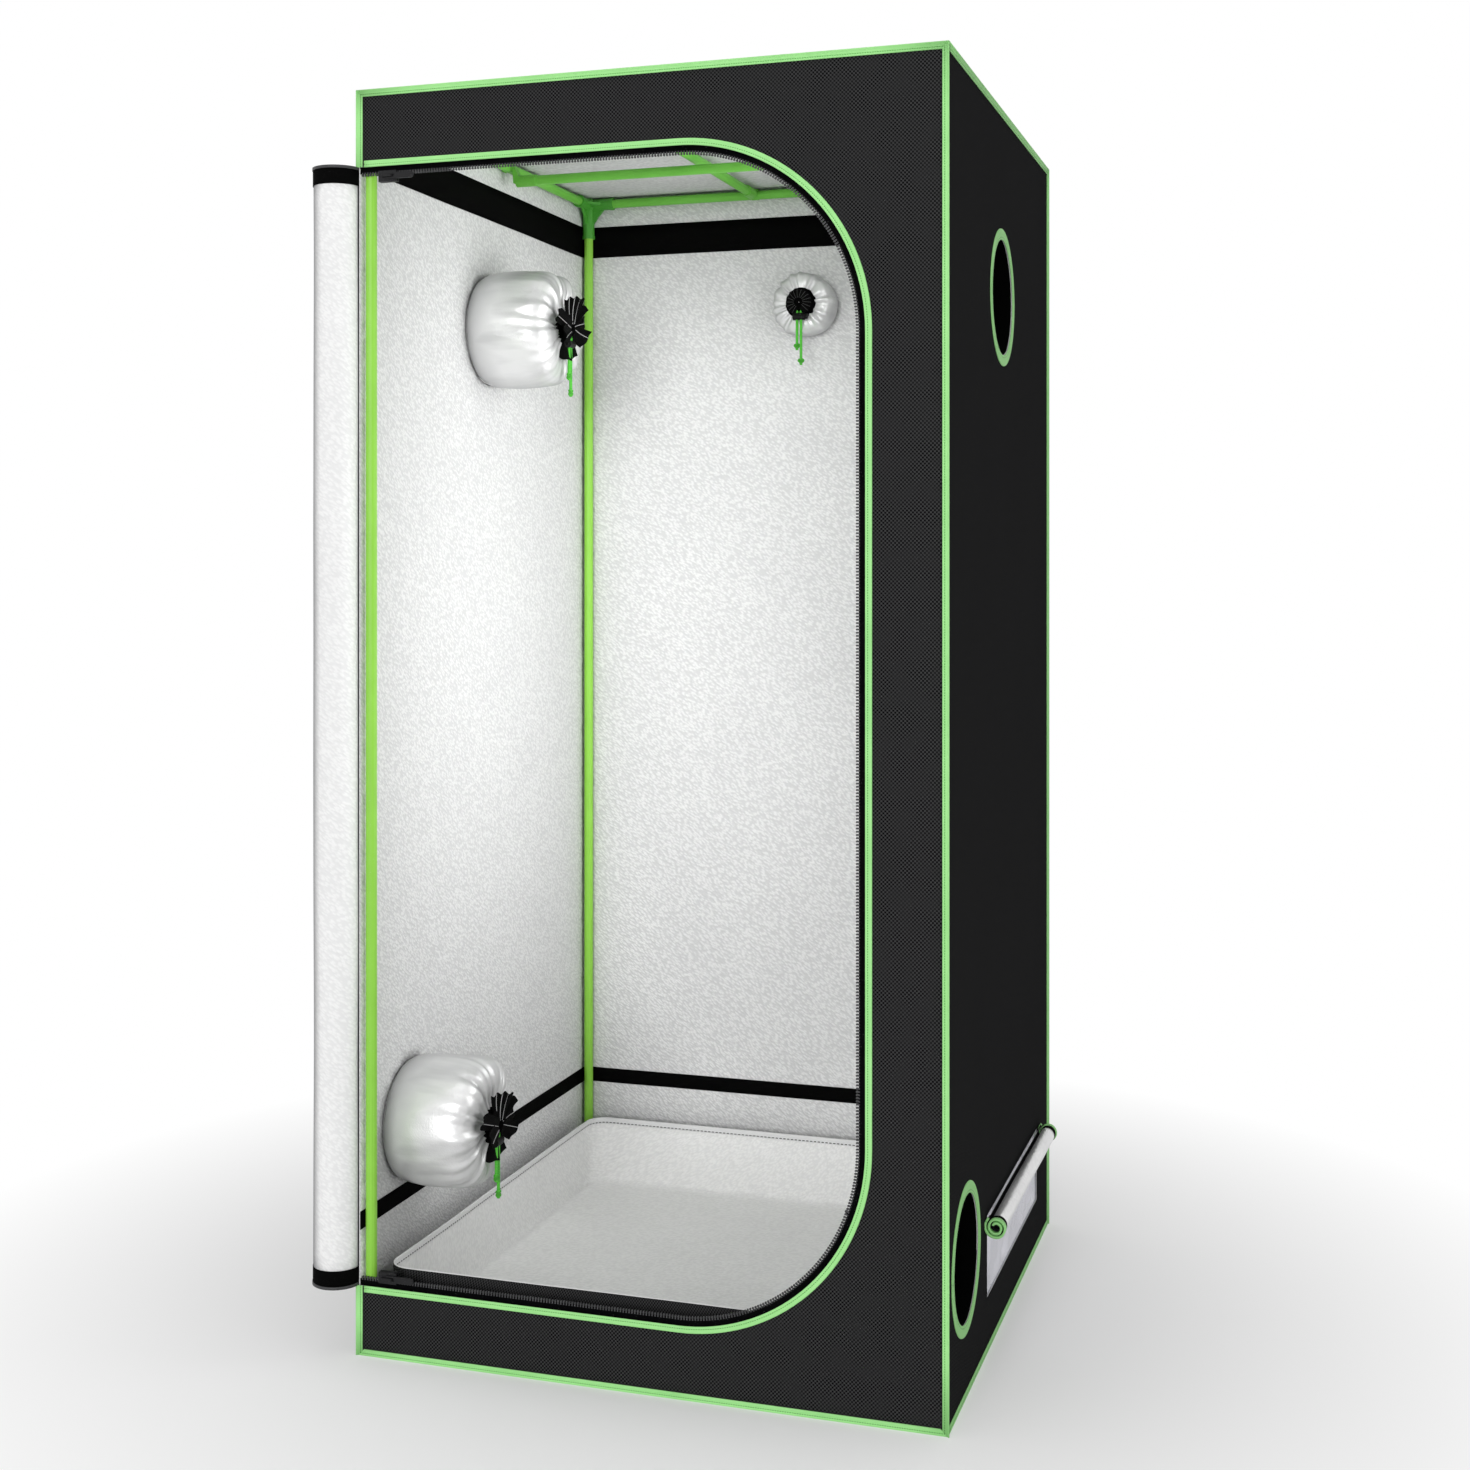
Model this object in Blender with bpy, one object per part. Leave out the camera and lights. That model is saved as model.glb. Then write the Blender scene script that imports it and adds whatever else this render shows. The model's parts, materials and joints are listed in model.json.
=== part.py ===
"""Indoor grow tent: a cloth cover sewn from panels over a frame of tubes and corner connectors.

The tent stands on the XY plane with its front towards -Y, and the origin is under its middle.
All sizes are in metres.
"""
import math

import bmesh
import bpy
from mathutils import Matrix, Vector

# Overall size of the tent, measured over the edge binding
TENT_WIDTH = 0.854
TENT_DEPTH = 0.854
TENT_HEIGHT = 1.8

# Gap that touching pieces keep, how far a cut runs past what it cuts, and how finely things are round
SEAT_GAP = 0.0003
CUT_OVERRUN = 0.02
ROUND_SIDES = 12
PORT_SIDES = 24
ARC_STEPS = 10
SHARP_ANGLE = math.radians(35)

# Cover cloth and the binding tape over its seams
COVER_CLOTH = 0.0015
BINDING_WIDTH = 0.009
BINDING_THICKNESS = 0.0012
BINDING_LIFT = 0.0006

# Front opening, whose straight side is the left corner seam
DOOR_HEAD_BAND = 0.108
DOOR_SILL_BAND = 0.099
DOOR_SIDE_BAND = 0.11
DOOR_CORNER_RADIUS = 0.26

# Zipper tape with its row of teeth, its sliders and their pulls
TAPE_THICKNESS = 0.0008
TAPE_UNDER_COVER = 0.01
TAPE_SHOWING = 0.0095
TEETH_WIDTH = 0.004
TEETH_THICKNESS = 0.0026
SLIDER_LENGTH = 0.028
SLIDER_CLEARANCE = 0.0004
SLIDER_PLATE = 0.0028
SLIDER_LIP = 0.0017
SLIDER_POST = 0.0028
SLIDER_PARKED = 0.034
CROWN_LENGTH = 0.017
CROWN_WIDTH = 0.003
CROWN_STRIP = 0.0013
PULL_PIN_RADIUS = 0.001
PULL_LENGTH = 0.042
PULL_WIDTH = 0.009
PULL_THICKNESS = 0.002
PULL_ARM = 0.0022
PULL_ARM_LENGTH = 0.012

# Door, rolled up beside the corner seam
DOOR_ROLL_RADIUS = 0.035
DOOR_ROLL_PITCH = 0.0036
DOOR_ROLL_SETBACK = 0.006
DOOR_END_MARGIN = 0.006
ROLL_STEPS_PER_TURN = 18

# Frame tubes and three-way corner connectors
TUBE_RADIUS = 0.008
TUBE_WALL = 0.0009
SOCKET_WALL = 0.0023
COLLAR_WALL = 0.0008
COLLAR_LENGTH = 0.006
SIDE_LEG = 0.049
POST_LEG = 0.062
SOCKET_FLOOR = 0.0032
HUB_CHAMFER = 0.004
GUSSET_THICKNESS = 0.005

# Hanging bars that clip over the top tubes
BAR_RADIUS = 0.008
HOOK_WALL = 0.0026
HOOK_WIDTH = 0.014
HOOK_MOUTH = 0.0125
HOOK_SLEEVE_WALL = 0.0018
HOOK_SLEEVE_LENGTH = 0.03
HOOK_STEM = 0.009
CROSS_BAR_DROP = 0.0235
CROSS_BAR_FROM_FRONT = 0.487
LONG_BAR_FROM_LEFT = 0.333
BAR_CROSSING_GAP = 0.0075

# Duct ports: hole, binding ring outside, drawn-up sleeve inside
DUCT_HOLE_RADIUS = 0.086
CABLE_HOLE_RADIUS = 0.045
RING_WIDTH = 0.016
RING_THICKNESS = 0.0012
FLANGE_WIDTH = 0.01
SLEEVE_CLOTH = 0.002
SLEEVE_MOUTH_CLEARANCE = 0.002
SLEEVE_BULGE = 0.0065
DUCT_SLEEVE_LENGTH = 0.133
CABLE_SLEEVE_LENGTH = 0.06
NECK_RADIUS = 0.0112
NECK_STANDOFF = 0.0095
NECK_LENGTH = 0.006
RUFFLE_LENGTH = 0.024
DUCT_RUFFLE_REACH = 0.036
CABLE_RUFFLE_REACH = 0.008
RUFFLE_HOLLOW = 0.009
PLEAT_SHARE = 0.035

# Drawstring and its cord lock
CORD_RADIUS = 0.0025
CORD_STEP = 0.0068
CORD_LOOP_STEPS = 14
STRAND_SPACING = 0.0072
SHORT_TAIL = 0.052
LONG_TAIL = 0.078
KNOT_SHARE = 1.75
LOCK_RADIUS = 0.0066
LOCK_LENGTH = 0.0205
LOCK_BUTTON_RADIUS = 0.0048
LOCK_BUTTON_LENGTH = 0.005
LOCK_BORE_CLEARANCE = 0.0004
LOCK_STANDOFF = 0.0008

# Port places, along the wall and from the floor or below the roof
UPPER_LEFT_FROM_FRONT = 0.436
UPPER_LEFT_BELOW_ROOF = 0.293
LOWER_LEFT_FROM_FRONT = 0.158
LOWER_LEFT_ABOVE_FLOOR = 0.297
UPPER_RIGHT_FROM_FRONT = 0.41
UPPER_RIGHT_BELOW_ROOF = 0.276
LOWER_RIGHT_FROM_FRONT = 0.128
LOWER_RIGHT_ABOVE_FLOOR = 0.187
UPPER_BACK_FROM_LEFT = 0.432
UPPER_BACK_BELOW_ROOF = 0.217

# Vent low in the right wall, with its net and its rolled-up flap
VENT_FROM_FRONT = 0.285
VENT_LENGTH = 0.45
VENT_ABOVE_FLOOR = 0.078
VENT_HEIGHT = 0.117
NET_OVERLAP = 0.01
NET_THICKNESS = 0.001
NET_STRAND = 0.0035
NET_COLUMNS = 18
NET_ROWS = 4
FLAP_ROLL_RADIUS = 0.016
FLAP_ROLL_PITCH = 0.0034
FLAP_SIDE_LAP = 0.02
FLAP_BOTTOM_LAP = 0.02
FLAP_ROLL_RAISE = 0.009

# Floor tray that lies inside on the floor cloth
TRAY_CLOTH = 0.002
TRAY_HEIGHT = 0.118
TRAY_FRAME_CLEARANCE = 0.003
TRAY_CORNER_RADIUS = 0.034
TRAY_DIP_CLEARANCE = 0.005
TRAY_SIDE_STEPS = 24

# Cover faces, worked out from the overall size
COVER_X = TENT_WIDTH / 2 - BINDING_THICKNESS - SEAT_GAP
COVER_Y = TENT_DEPTH / 2 - BINDING_THICKNESS - SEAT_GAP
COVER_TOP = TENT_HEIGHT - BINDING_THICKNESS - SEAT_GAP
WALL_BOTTOM = COVER_CLOTH + SEAT_GAP
WALL_TOP = COVER_TOP - COVER_CLOTH - SEAT_GAP
INSIDE_X = COVER_X - COVER_CLOTH
INSIDE_Y = COVER_Y - COVER_CLOTH

# Frame lines: the axes of the tubes
SOCKET_BORE_RADIUS = TUBE_RADIUS + SEAT_GAP
SOCKET_RADIUS = SOCKET_BORE_RADIUS + SOCKET_WALL
COLLAR_RADIUS = SOCKET_RADIUS + COLLAR_WALL
SOCKET_STOP = SOCKET_BORE_RADIUS + SOCKET_FLOOR
TUBE_STOP = SOCKET_STOP + SEAT_GAP
FRAME_X = INSIDE_X - SEAT_GAP - COLLAR_RADIUS
FRAME_Y = INSIDE_Y - SEAT_GAP - COLLAR_RADIUS
FRAME_LOW = WALL_BOTTOM + COLLAR_RADIUS
FRAME_HIGH = WALL_TOP - COLLAR_RADIUS

# Front opening in the tent's own frame
DOOR_LEFT = -COVER_X
DOOR_RIGHT = TENT_WIDTH / 2 - DOOR_SIDE_BAND
DOOR_SILL = DOOR_SILL_BAND
DOOR_HEAD = TENT_HEIGHT - DOOR_HEAD_BAND

# Zipper: where its tape and teeth lie across the front and off the opening's edge
TAPE_FRONT = -COVER_Y + COVER_CLOTH + SEAT_GAP
TAPE_MIDDLE = TAPE_FRONT + TAPE_THICKNESS / 2
TEETH_START = TAPE_SHOWING
TEETH_END = TAPE_SHOWING + TEETH_WIDTH
SLIDER_CHANNEL = TEETH_THICKNESS / 2 + SLIDER_CLEARANCE
SLIDER_FACE = SLIDER_CHANNEL + SLIDER_PLATE
SLIDER_MIDDLE = TEETH_END + SLIDER_CLEARANCE + SLIDER_POST / 2
SLIDER_HALF = SLIDER_MIDDLE - TEETH_START + SLIDER_CLEARANCE + SLIDER_LIP

UP = Vector((0, 0, 1))


def clear_scene():
    """Start from an empty scene"""
    for old in list(bpy.data.objects):
        bpy.data.objects.remove(old, do_unlink=True)


def material(name, colour, roughness, metallic):
    """A plain material with the piece's colour and finish"""
    made = bpy.data.materials.new(name)
    made.use_nodes = True
    shader = made.node_tree.nodes["Principled BSDF"]
    shader.inputs["Base Color"].default_value = (*colour, 1)
    shader.inputs["Roughness"].default_value = roughness
    shader.inputs["Metallic"].default_value = metallic
    made.diffuse_color = (*colour, 1)
    return made


def shell_cloth():
    return material("shell_cloth", (0.03, 0.03, 0.032), 0.75, 0)


def lining_cloth():
    return material("lining_cloth", (0.78, 0.79, 0.80), 0.35, 0.2)


def binding_tape():
    return material("binding_tape", (0.28, 0.83, 0.26), 0.6, 0)


def zipper_plastic():
    return material("zipper_plastic", (0.02, 0.02, 0.022), 0.5, 0)


def zipper_metal():
    return material("zipper_metal", (0.06, 0.06, 0.065), 0.35, 0.8)


def post_paint():
    return material("post_paint", (0.30, 0.58, 0.12), 0.35, 0)


def tube_paint():
    return material("tube_paint", (0.10, 0.34, 0.04), 0.4, 0)


def connector_plastic():
    return material("connector_plastic", (0.03, 0.20, 0.015), 0.5, 0)


def net_thread():
    return material("net_thread", (0.75, 0.75, 0.80), 0.8, 0)


def cord_braid():
    return material("cord_braid", (0.12, 0.60, 0.06), 0.7, 0)


def lock_plastic():
    return material("lock_plastic", (0.015, 0.015, 0.015), 0.4, 0)


def place(name, mesh, finish, matrix=None, parent=None):
    """Put a mesh into the scene as one named sub-part with its own finish"""
    mesh.name = name
    mesh.materials.clear()
    mesh.materials.append(finish)
    mesh.shade_smooth()
    mesh.set_sharp_from_angle(angle=SHARP_ANGLE)
    piece = bpy.data.objects.new(name, mesh)
    bpy.context.scene.collection.objects.link(piece)
    piece.parent = parent
    if matrix is not None:
        piece.matrix_world = matrix
    return piece


def pivot(name, position, parent=None):
    """An empty on a joint's axis, which carries the pieces that move on it"""
    empty = bpy.data.objects.new(name, None)
    bpy.context.scene.collection.objects.link(empty)
    empty.parent = parent
    empty.matrix_world = Matrix.Translation(position)
    bpy.context.view_layer.update()
    return empty


def loft(rings, joined=False):
    """Skin a row of rings with equal numbers of points, and cap its ends or join them"""
    shape = bmesh.new()
    rows = [[shape.verts.new(point) for point in ring] for ring in rings]
    count = len(rows[0])
    pairs = list(zip(rows, rows[1:]))
    if joined:
        pairs.append((rows[-1], rows[0]))
    for low, high in pairs:
        for i in range(count):
            j = (i + 1) % count
            shape.faces.new((low[i], low[j], high[j], high[i]))
    if not joined:
        shape.faces.new(rows[0])
        shape.faces.new(rows[-1])
    bmesh.ops.recalc_face_normals(shape, faces=shape.faces)
    mesh = bpy.data.meshes.new("loft")
    shape.to_mesh(mesh)
    shape.free()
    return mesh


def box(low, high):
    """A block between two corners"""
    rings = [
        [(low[0], low[1], z), (high[0], low[1], z), (high[0], high[1], z), (low[0], high[1], z)]
        for z in (low[2], high[2])
    ]
    return loft(rings)


def prism(outline, low, high):
    """An outline in X and Y, extruded from one height to another"""
    return loft([[(x, y, z) for x, y in outline] for z in (low, high)])


def circle(radius, sides):
    """The corners of a regular polygon in X and Y"""
    turns = (2 * math.pi * i / sides for i in range(sides))
    return [(radius * math.cos(a), radius * math.sin(a)) for a in turns]


def revolve(profile, sides):
    """Turn a closed profile of radius and height pairs about Z"""
    rings = [[(x, y, height) for x, y in circle(radius, sides)] for radius, height in profile]
    return loft(rings, joined=True)


def pipe(outer, inner, low, high, sides=ROUND_SIDES):
    """A hollow round tube along Z"""
    return revolve([(outer, low), (outer, high), (inner, high), (inner, low)], sides)


def moved(mesh, matrix):
    """The same mesh, moved by a matrix"""
    mesh.transform(matrix)
    return mesh


def combine(mesh, others, operation):
    """Join other meshes to this one, or cut them from it"""
    body = bpy.data.objects.new("body", mesh)
    tools = [bpy.data.objects.new("tool", other) for other in others]
    for item in [body, *tools]:
        bpy.context.scene.collection.objects.link(item)
    for tool in tools:
        step = body.modifiers.new("step", "BOOLEAN")
        step.operation = operation
        step.object = tool
    graph = bpy.context.evaluated_depsgraph_get()
    result = bpy.data.meshes.new_from_object(body.evaluated_get(graph))
    for item in [body, *tools]:
        bpy.data.objects.remove(item, do_unlink=True)
    return result


def axes(x, y, z, origin):
    """The matrix of a frame with these axes and origin"""
    return Matrix.Translation(origin) @ Matrix((x, y, z)).transposed().to_4x4()


def along(direction):
    """The turn that lays Z along a direction"""
    return Vector(direction).to_track_quat("Z", "Y").to_matrix().to_4x4()


def across_front(outline, near, far):
    """An outline in X and Z, extruded along Y"""
    mesh = prism(outline, 0, far - near)
    stand = Matrix.Translation((0, far, 0)) @ Matrix.Rotation(math.pi / 2, 4, "X")
    return moved(mesh, stand)


def door_edge():
    """Points of the opening's cut edge in X and Z, each with its direction into the opening"""
    points = [((DOOR_LEFT, DOOR_HEAD), (0, -1))]
    for high, start in ((True, math.pi / 2), (False, 0)):
        z = DOOR_HEAD - DOOR_CORNER_RADIUS if high else DOOR_SILL + DOOR_CORNER_RADIUS
        for i in range(ARC_STEPS + 1):
            turn = start - math.pi / 2 * i / ARC_STEPS
            out = (math.cos(turn), math.sin(turn))
            x = DOOR_RIGHT - DOOR_CORNER_RADIUS + DOOR_CORNER_RADIUS * out[0]
            points.append(((x, z + DOOR_CORNER_RADIUS * out[1]), (-out[0], -out[1])))
    points.append(((DOOR_LEFT, DOOR_SILL), (0, 1)))
    return points


def along_door(profile, left_end):
    """Sweep a profile of inward offset and depth along the opening's edge"""
    rings = []
    for (x, z), (inward_x, inward_z) in door_edge():
        x = max(x, left_end)
        rings.append([(x + inward_x * n, y, z + inward_z * n) for n, y in profile])
    return loft(rings)


def build_front_panel(shell):
    """Front wall: a band over, under and beside the opening"""
    outline = [(-COVER_X, WALL_BOTTOM), (COVER_X, WALL_BOTTOM), (COVER_X, WALL_TOP), (-COVER_X, WALL_TOP)]
    outline += [place_on_edge for place_on_edge, _ in door_edge()]
    place("front_panel", across_front(outline, -COVER_Y, -INSIDE_Y), shell)


def wall_hole(frame, radius):
    """A cutter for one port's hole"""
    mesh = prism(circle(radius, PORT_SIDES), -CUT_OVERRUN, CUT_OVERRUN)
    return moved(mesh, frame)


def build_walls(shell, ports):
    """Left, right and back walls with their port holes, and the vent's window on the right"""
    side = INSIDE_Y - SEAT_GAP
    blanks = {
        "left": box((-COVER_X, -side, WALL_BOTTOM), (-INSIDE_X, side, WALL_TOP)),
        "right": box((INSIDE_X, -side, WALL_BOTTOM), (COVER_X, side, WALL_TOP)),
        "back": box((-COVER_X, INSIDE_Y, WALL_BOTTOM), (COVER_X, COVER_Y, WALL_TOP)),
    }
    near = VENT_FROM_FRONT - TENT_DEPTH / 2
    window = box(
        (INSIDE_X - CUT_OVERRUN, near, VENT_ABOVE_FLOOR),
        (COVER_X + CUT_OVERRUN, near + VENT_LENGTH, VENT_ABOVE_FLOOR + VENT_HEIGHT),
    )
    for wall, blank in blanks.items():
        cutters = [wall_hole(port["frame"], port["hole"]) for port in ports if port["wall"] == wall]
        if wall == "right":
            cutters.append(window)
        place(wall + "_wall", combine(blank, cutters, "DIFFERENCE"), shell)


def build_roof_and_floor(shell):
    """Roof and floor cloths, each over the whole plan"""
    place("roof_panel", box((-COVER_X, -COVER_Y, WALL_TOP + SEAT_GAP), (COVER_X, COVER_Y, COVER_TOP)), shell)
    place("floor_panel", box((-COVER_X, -COVER_Y, 0), (COVER_X, COVER_Y, COVER_CLOTH)), shell)


def build_edge_binding(tape):
    """Binding over the cover's edge seams, in one length with the corner turns"""
    half_x, half_y, low = TENT_WIDTH / 2, TENT_DEPTH / 2, BINDING_LIFT
    over_x, over_y, over_top = half_x + CUT_OVERRUN, half_y + CUT_OVERRUN, TENT_HEIGHT + CUT_OVERRUN
    pane_x, pane_y = half_x - BINDING_WIDTH, half_y - BINDING_WIDTH
    pane_low, pane_top = low + BINDING_WIDTH, TENT_HEIGHT - BINDING_WIDTH
    seat_x, seat_y, seat_top = COVER_X + SEAT_GAP, COVER_Y + SEAT_GAP, COVER_TOP + SEAT_GAP
    block = box((-half_x, -half_y, low), (half_x, half_y, TENT_HEIGHT))
    cutters = [
        box((-seat_x, -seat_y, -CUT_OVERRUN), (seat_x, seat_y, seat_top)),
        box((-over_x, -pane_y, pane_low), (over_x, pane_y, pane_top)),
        box((-pane_x, -over_y, pane_low), (pane_x, over_y, pane_top)),
        box((-pane_x, -pane_y, pane_low), (pane_x, pane_y, over_top)),
        box(
            (-over_x, -over_y, DOOR_SILL - BINDING_WIDTH - SEAT_GAP),
            (-pane_x, -COVER_Y, DOOR_HEAD + BINDING_WIDTH + SEAT_GAP),
        ),
    ]
    place("edge_binding", combine(block, cutters, "DIFFERENCE"), tape)


def build_door_binding(tape):
    """Binding along the opening's cut edge, on the outside"""
    front = -COVER_Y - SEAT_GAP - BINDING_THICKNESS
    back = -COVER_Y - SEAT_GAP
    profile = [(-BINDING_WIDTH, front), (0, front), (0, back), (-BINDING_WIDTH, back)]
    place("door_binding", along_door(profile, DOOR_LEFT), tape)


def build_zip_tape(plastic):
    """Zipper tape behind the opening's edge, with its row of teeth along the free side"""
    half_tape, half_teeth = TAPE_THICKNESS / 2, TEETH_THICKNESS / 2
    profile = [
        (-TAPE_UNDER_COVER, TAPE_MIDDLE - half_tape),
        (TEETH_START, TAPE_MIDDLE - half_tape),
        (TEETH_START, TAPE_MIDDLE - half_teeth),
        (TEETH_END, TAPE_MIDDLE - half_teeth),
        (TEETH_END, TAPE_MIDDLE + half_teeth),
        (TEETH_START, TAPE_MIDDLE + half_teeth),
        (TEETH_START, TAPE_MIDDLE + half_tape),
        (-TAPE_UNDER_COVER, TAPE_MIDDLE + half_tape),
    ]
    place("zip_tape", along_door(profile, -INSIDE_X + SEAT_GAP), plastic)


def slider_mesh():
    """A zip slider: two plates with inturned lips, joined by a post, and a crown for the pull.

    X runs along the zipper, Y to the back, and Z into the opening from the slider's middle.
    """
    slot = TAPE_THICKNESS / 2 + SLIDER_CLEARANCE
    lip, post = SLIDER_HALF - SLIDER_LIP, SLIDER_POST / 2
    half = [(SLIDER_HALF, slot), (lip, slot), (lip, SLIDER_CHANNEL), (post, SLIDER_CHANNEL)]
    quarter = [(SLIDER_HALF, SLIDER_FACE), *half]
    outline = [(n, y) for n, y in quarter]
    outline += [(n, -y) for n, y in reversed(quarter)]
    outline += [(-n, -y) for n, y in quarter]
    outline += [(-n, y) for n, y in reversed(quarter)]
    ring = [[(x, y, n) for n, y in outline] for x in (-SLIDER_LENGTH / 2, SLIDER_LENGTH / 2)]
    body = loft(ring)
    rise = 2 * (PULL_PIN_RADIUS + SLIDER_CLEARANCE)
    reach, foot = CROWN_LENGTH / 2, CROWN_STRIP
    sink = SLIDER_FACE - SLIDER_PLATE / 2
    arch = [
        (-reach, sink),
        (-reach, SLIDER_FACE + rise),
        (-reach + foot, SLIDER_FACE + rise + foot),
        (reach - foot, SLIDER_FACE + rise + foot),
        (reach, SLIDER_FACE + rise),
        (reach, sink),
        (reach - foot, sink),
        (reach - foot, SLIDER_FACE + rise),
        (-reach + foot, SLIDER_FACE + rise),
        (-reach + foot, sink),
    ]
    crown = loft([[(x, -y, z) for x, y in arch] for z in (-CROWN_WIDTH / 2, CROWN_WIDTH / 2)])
    return combine(body, [crown], "UNION")


def pull_mesh():
    """A zip pull: a pin under the slider's crown, two arms beside it and a rounded tab.

    X runs along the tab from the pin, and Z along the pin.
    """
    half, inner = PULL_WIDTH / 2, PULL_WIDTH / 2 - PULL_ARM
    low, high = -PULL_THICKNESS / 2, PULL_THICKNESS / 2
    nose = PULL_LENGTH - half
    tip = [(nose + half * math.sin(a), -half * math.cos(a)) for a in arc(0, math.pi, ARC_STEPS)]
    outline = [(-PULL_PIN_RADIUS, -half), *tip, (-PULL_PIN_RADIUS, half)]
    tab = loft([[(x, y, z) for x, z in outline] for y in (low, high)])
    eye = box((-2 * PULL_PIN_RADIUS, low - CUT_OVERRUN, -inner), (PULL_ARM_LENGTH, high + CUT_OVERRUN, inner))
    pin = prism(circle(PULL_PIN_RADIUS, ROUND_SIDES // 2), -half + PULL_ARM / 2, half - PULL_ARM / 2)
    return combine(combine(tab, [eye], "DIFFERENCE"), [pin], "UNION")


def arc(start, end, steps):
    """Angles from start to end in equal steps"""
    return [start + (end - start) * i / steps for i in range(steps + 1)]


def build_zip_sliders(metal):
    """One slider at each end of the zipper, with its pull lying along the tape"""
    parked = -TENT_WIDTH / 2 + SLIDER_PARKED + SLIDER_LENGTH / 2
    pin = SLIDER_FACE + PULL_PIN_RADIUS + SLIDER_CLEARANCE
    for end, height, inward in (("upper", DOOR_HEAD, -1), ("lower", DOOR_SILL, 1)):
        middle = Vector((parked, TAPE_MIDDLE, height + inward * SLIDER_MIDDLE))
        slider = place("zip_slider_" + end, slider_mesh(), metal, Matrix.Translation(middle))
        bpy.context.view_layer.update()
        hinge = middle - Vector((0, pin, 0))
        place("zip_pull_" + end, pull_mesh(), metal, Matrix.Translation(hinge), slider)


def rolled_cloth(radius, pitch, length, ends, first_turn):
    """A cloth rolled up inwards about Z; ends gives its two edges at a distance along the cloth"""
    middle = radius - COVER_CLOTH / 2
    sweep = (middle - math.sqrt(middle**2 - pitch * length / math.pi)) * 2 * math.pi / pitch
    steps = math.ceil(sweep / (2 * math.pi) * ROLL_STEPS_PER_TURN)
    rings = []
    for i in range(steps + 1):
        turn = sweep * i / steps
        reach = middle - pitch * turn / (2 * math.pi)
        used = middle * turn - pitch * turn**2 / (4 * math.pi)
        low, high = ends(used)
        out = Vector((math.cos(first_turn - turn), math.sin(first_turn - turn), 0))
        outer, inner = out * (reach + COVER_CLOTH / 2), out * (reach - COVER_CLOTH / 2)
        rings.append([outer + UP * low, outer + UP * high, inner + UP * high, inner + UP * low])
    return loft(rings)


def build_door_roll(lining):
    """The door, rolled up beside the corner with its lining outside"""
    width = DOOR_RIGHT - DOOR_LEFT
    curve_start = width - DOOR_CORNER_RADIUS

    def ends(used):
        past = min(max(used - curve_start, 0), DOOR_CORNER_RADIUS)
        drop = DOOR_CORNER_RADIUS - math.sqrt(DOOR_CORNER_RADIUS**2 - past**2)
        inset = DOOR_END_MARGIN + drop
        return DOOR_SILL + inset, DOOR_HEAD - inset

    seam = Vector((-TENT_WIDTH / 2, -TENT_DEPTH / 2, 0))
    centre = Vector((-SEAT_GAP - DOOR_ROLL_RADIUS, DOOR_ROLL_SETBACK, 0))
    hinge = pivot("door_roll_pivot", seam)
    mesh = rolled_cloth(DOOR_ROLL_RADIUS, DOOR_ROLL_PITCH, width, ends, 0)
    place("door_roll", mesh, lining, Matrix.Translation(seam + centre), hinge)


# Hollow edge of a gusset web as shares of its reach along its two legs
GUSSET_SHARES = ((1.0, 0.0), (0.68, 0.2), (0.42, 0.42), (0.2, 0.68), (0.0, 1.0))


def gusset_outline(leg):
    """A web between a side leg and another leg, up to their collars"""
    side_reach, reach = SIDE_LEG - COLLAR_LENGTH, leg - COLLAR_LENGTH
    return [(0, 0)] + [(side_reach * a, reach * b) for a, b in GUSSET_SHARES]


def corner_sockets():
    """One three-way connector with legs along X, Y and Z: hub, sockets, collars and gusset webs"""
    hub = box([-COLLAR_RADIUS] * 3, [COLLAR_RADIUS] * 3)
    cutters = []
    for first in range(3):
        for side_a in (-1, 1):
            for side_b in (-1, 1):
                cutters.append(edge_chamfer(first, side_a, side_b))
    hub = combine(hub, cutters, "DIFFERENCE")
    joined, bores = [], []
    legs = (((1, 0, 0), SIDE_LEG), ((0, 1, 0), SIDE_LEG), ((0, 0, 1), POST_LEG))
    for direction, length in legs:
        lay = along(direction)
        socket = prism(circle(SOCKET_RADIUS, ROUND_SIDES), 0, length - COLLAR_LENGTH / 2)
        collar = prism(circle(COLLAR_RADIUS, ROUND_SIDES), length - COLLAR_LENGTH, length)
        bore = prism(circle(SOCKET_BORE_RADIUS, ROUND_SIDES), SOCKET_STOP, length + CUT_OVERRUN)
        joined += [moved(socket, lay), moved(collar, lay)]
        bores.append(moved(bore, lay))
    half = GUSSET_THICKNESS / 2
    flat, upright = gusset_outline(SIDE_LEG), gusset_outline(POST_LEG)
    joined.append(loft([[(a, b, t) for a, b in flat] for t in (-half, half)]))
    joined.append(loft([[(a, t, b) for a, b in upright] for t in (-half, half)]))
    joined.append(loft([[(t, a, b) for a, b in upright] for t in (-half, half)]))
    return combine(combine(hub, joined, "UNION"), bores, "DIFFERENCE")


def edge_chamfer(first, side_a, side_b):
    """A cutter that takes one long edge off the connector's hub"""
    reach = COLLAR_RADIUS + CUT_OVERRUN
    corner = COLLAR_RADIUS * 2 - HUB_CHAMFER
    triangle = [
        (side_a * (corner - reach), side_b * reach),
        (side_a * reach, side_b * (corner - reach)),
        (side_a * reach, side_b * reach),
    ]
    order = [(first + 1) % 3, (first + 2) % 3, first]
    rings = []
    for t in (-reach, reach):
        ring = []
        for a, b in triangle:
            point = [0, 0, 0]
            point[order[0]], point[order[1]], point[order[2]] = a, b, t
            ring.append(point)
        rings.append(ring)
    return loft(rings)


def mirrored(mesh, x, y, z):
    """A copy of a mesh, mirrored in the axes whose sign is negative"""
    copy = mesh.copy()
    copy.transform(Matrix.Diagonal((x, y, z, 1)))
    if x * y * z < 0:
        copy.flip_normals()
    return copy


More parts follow.
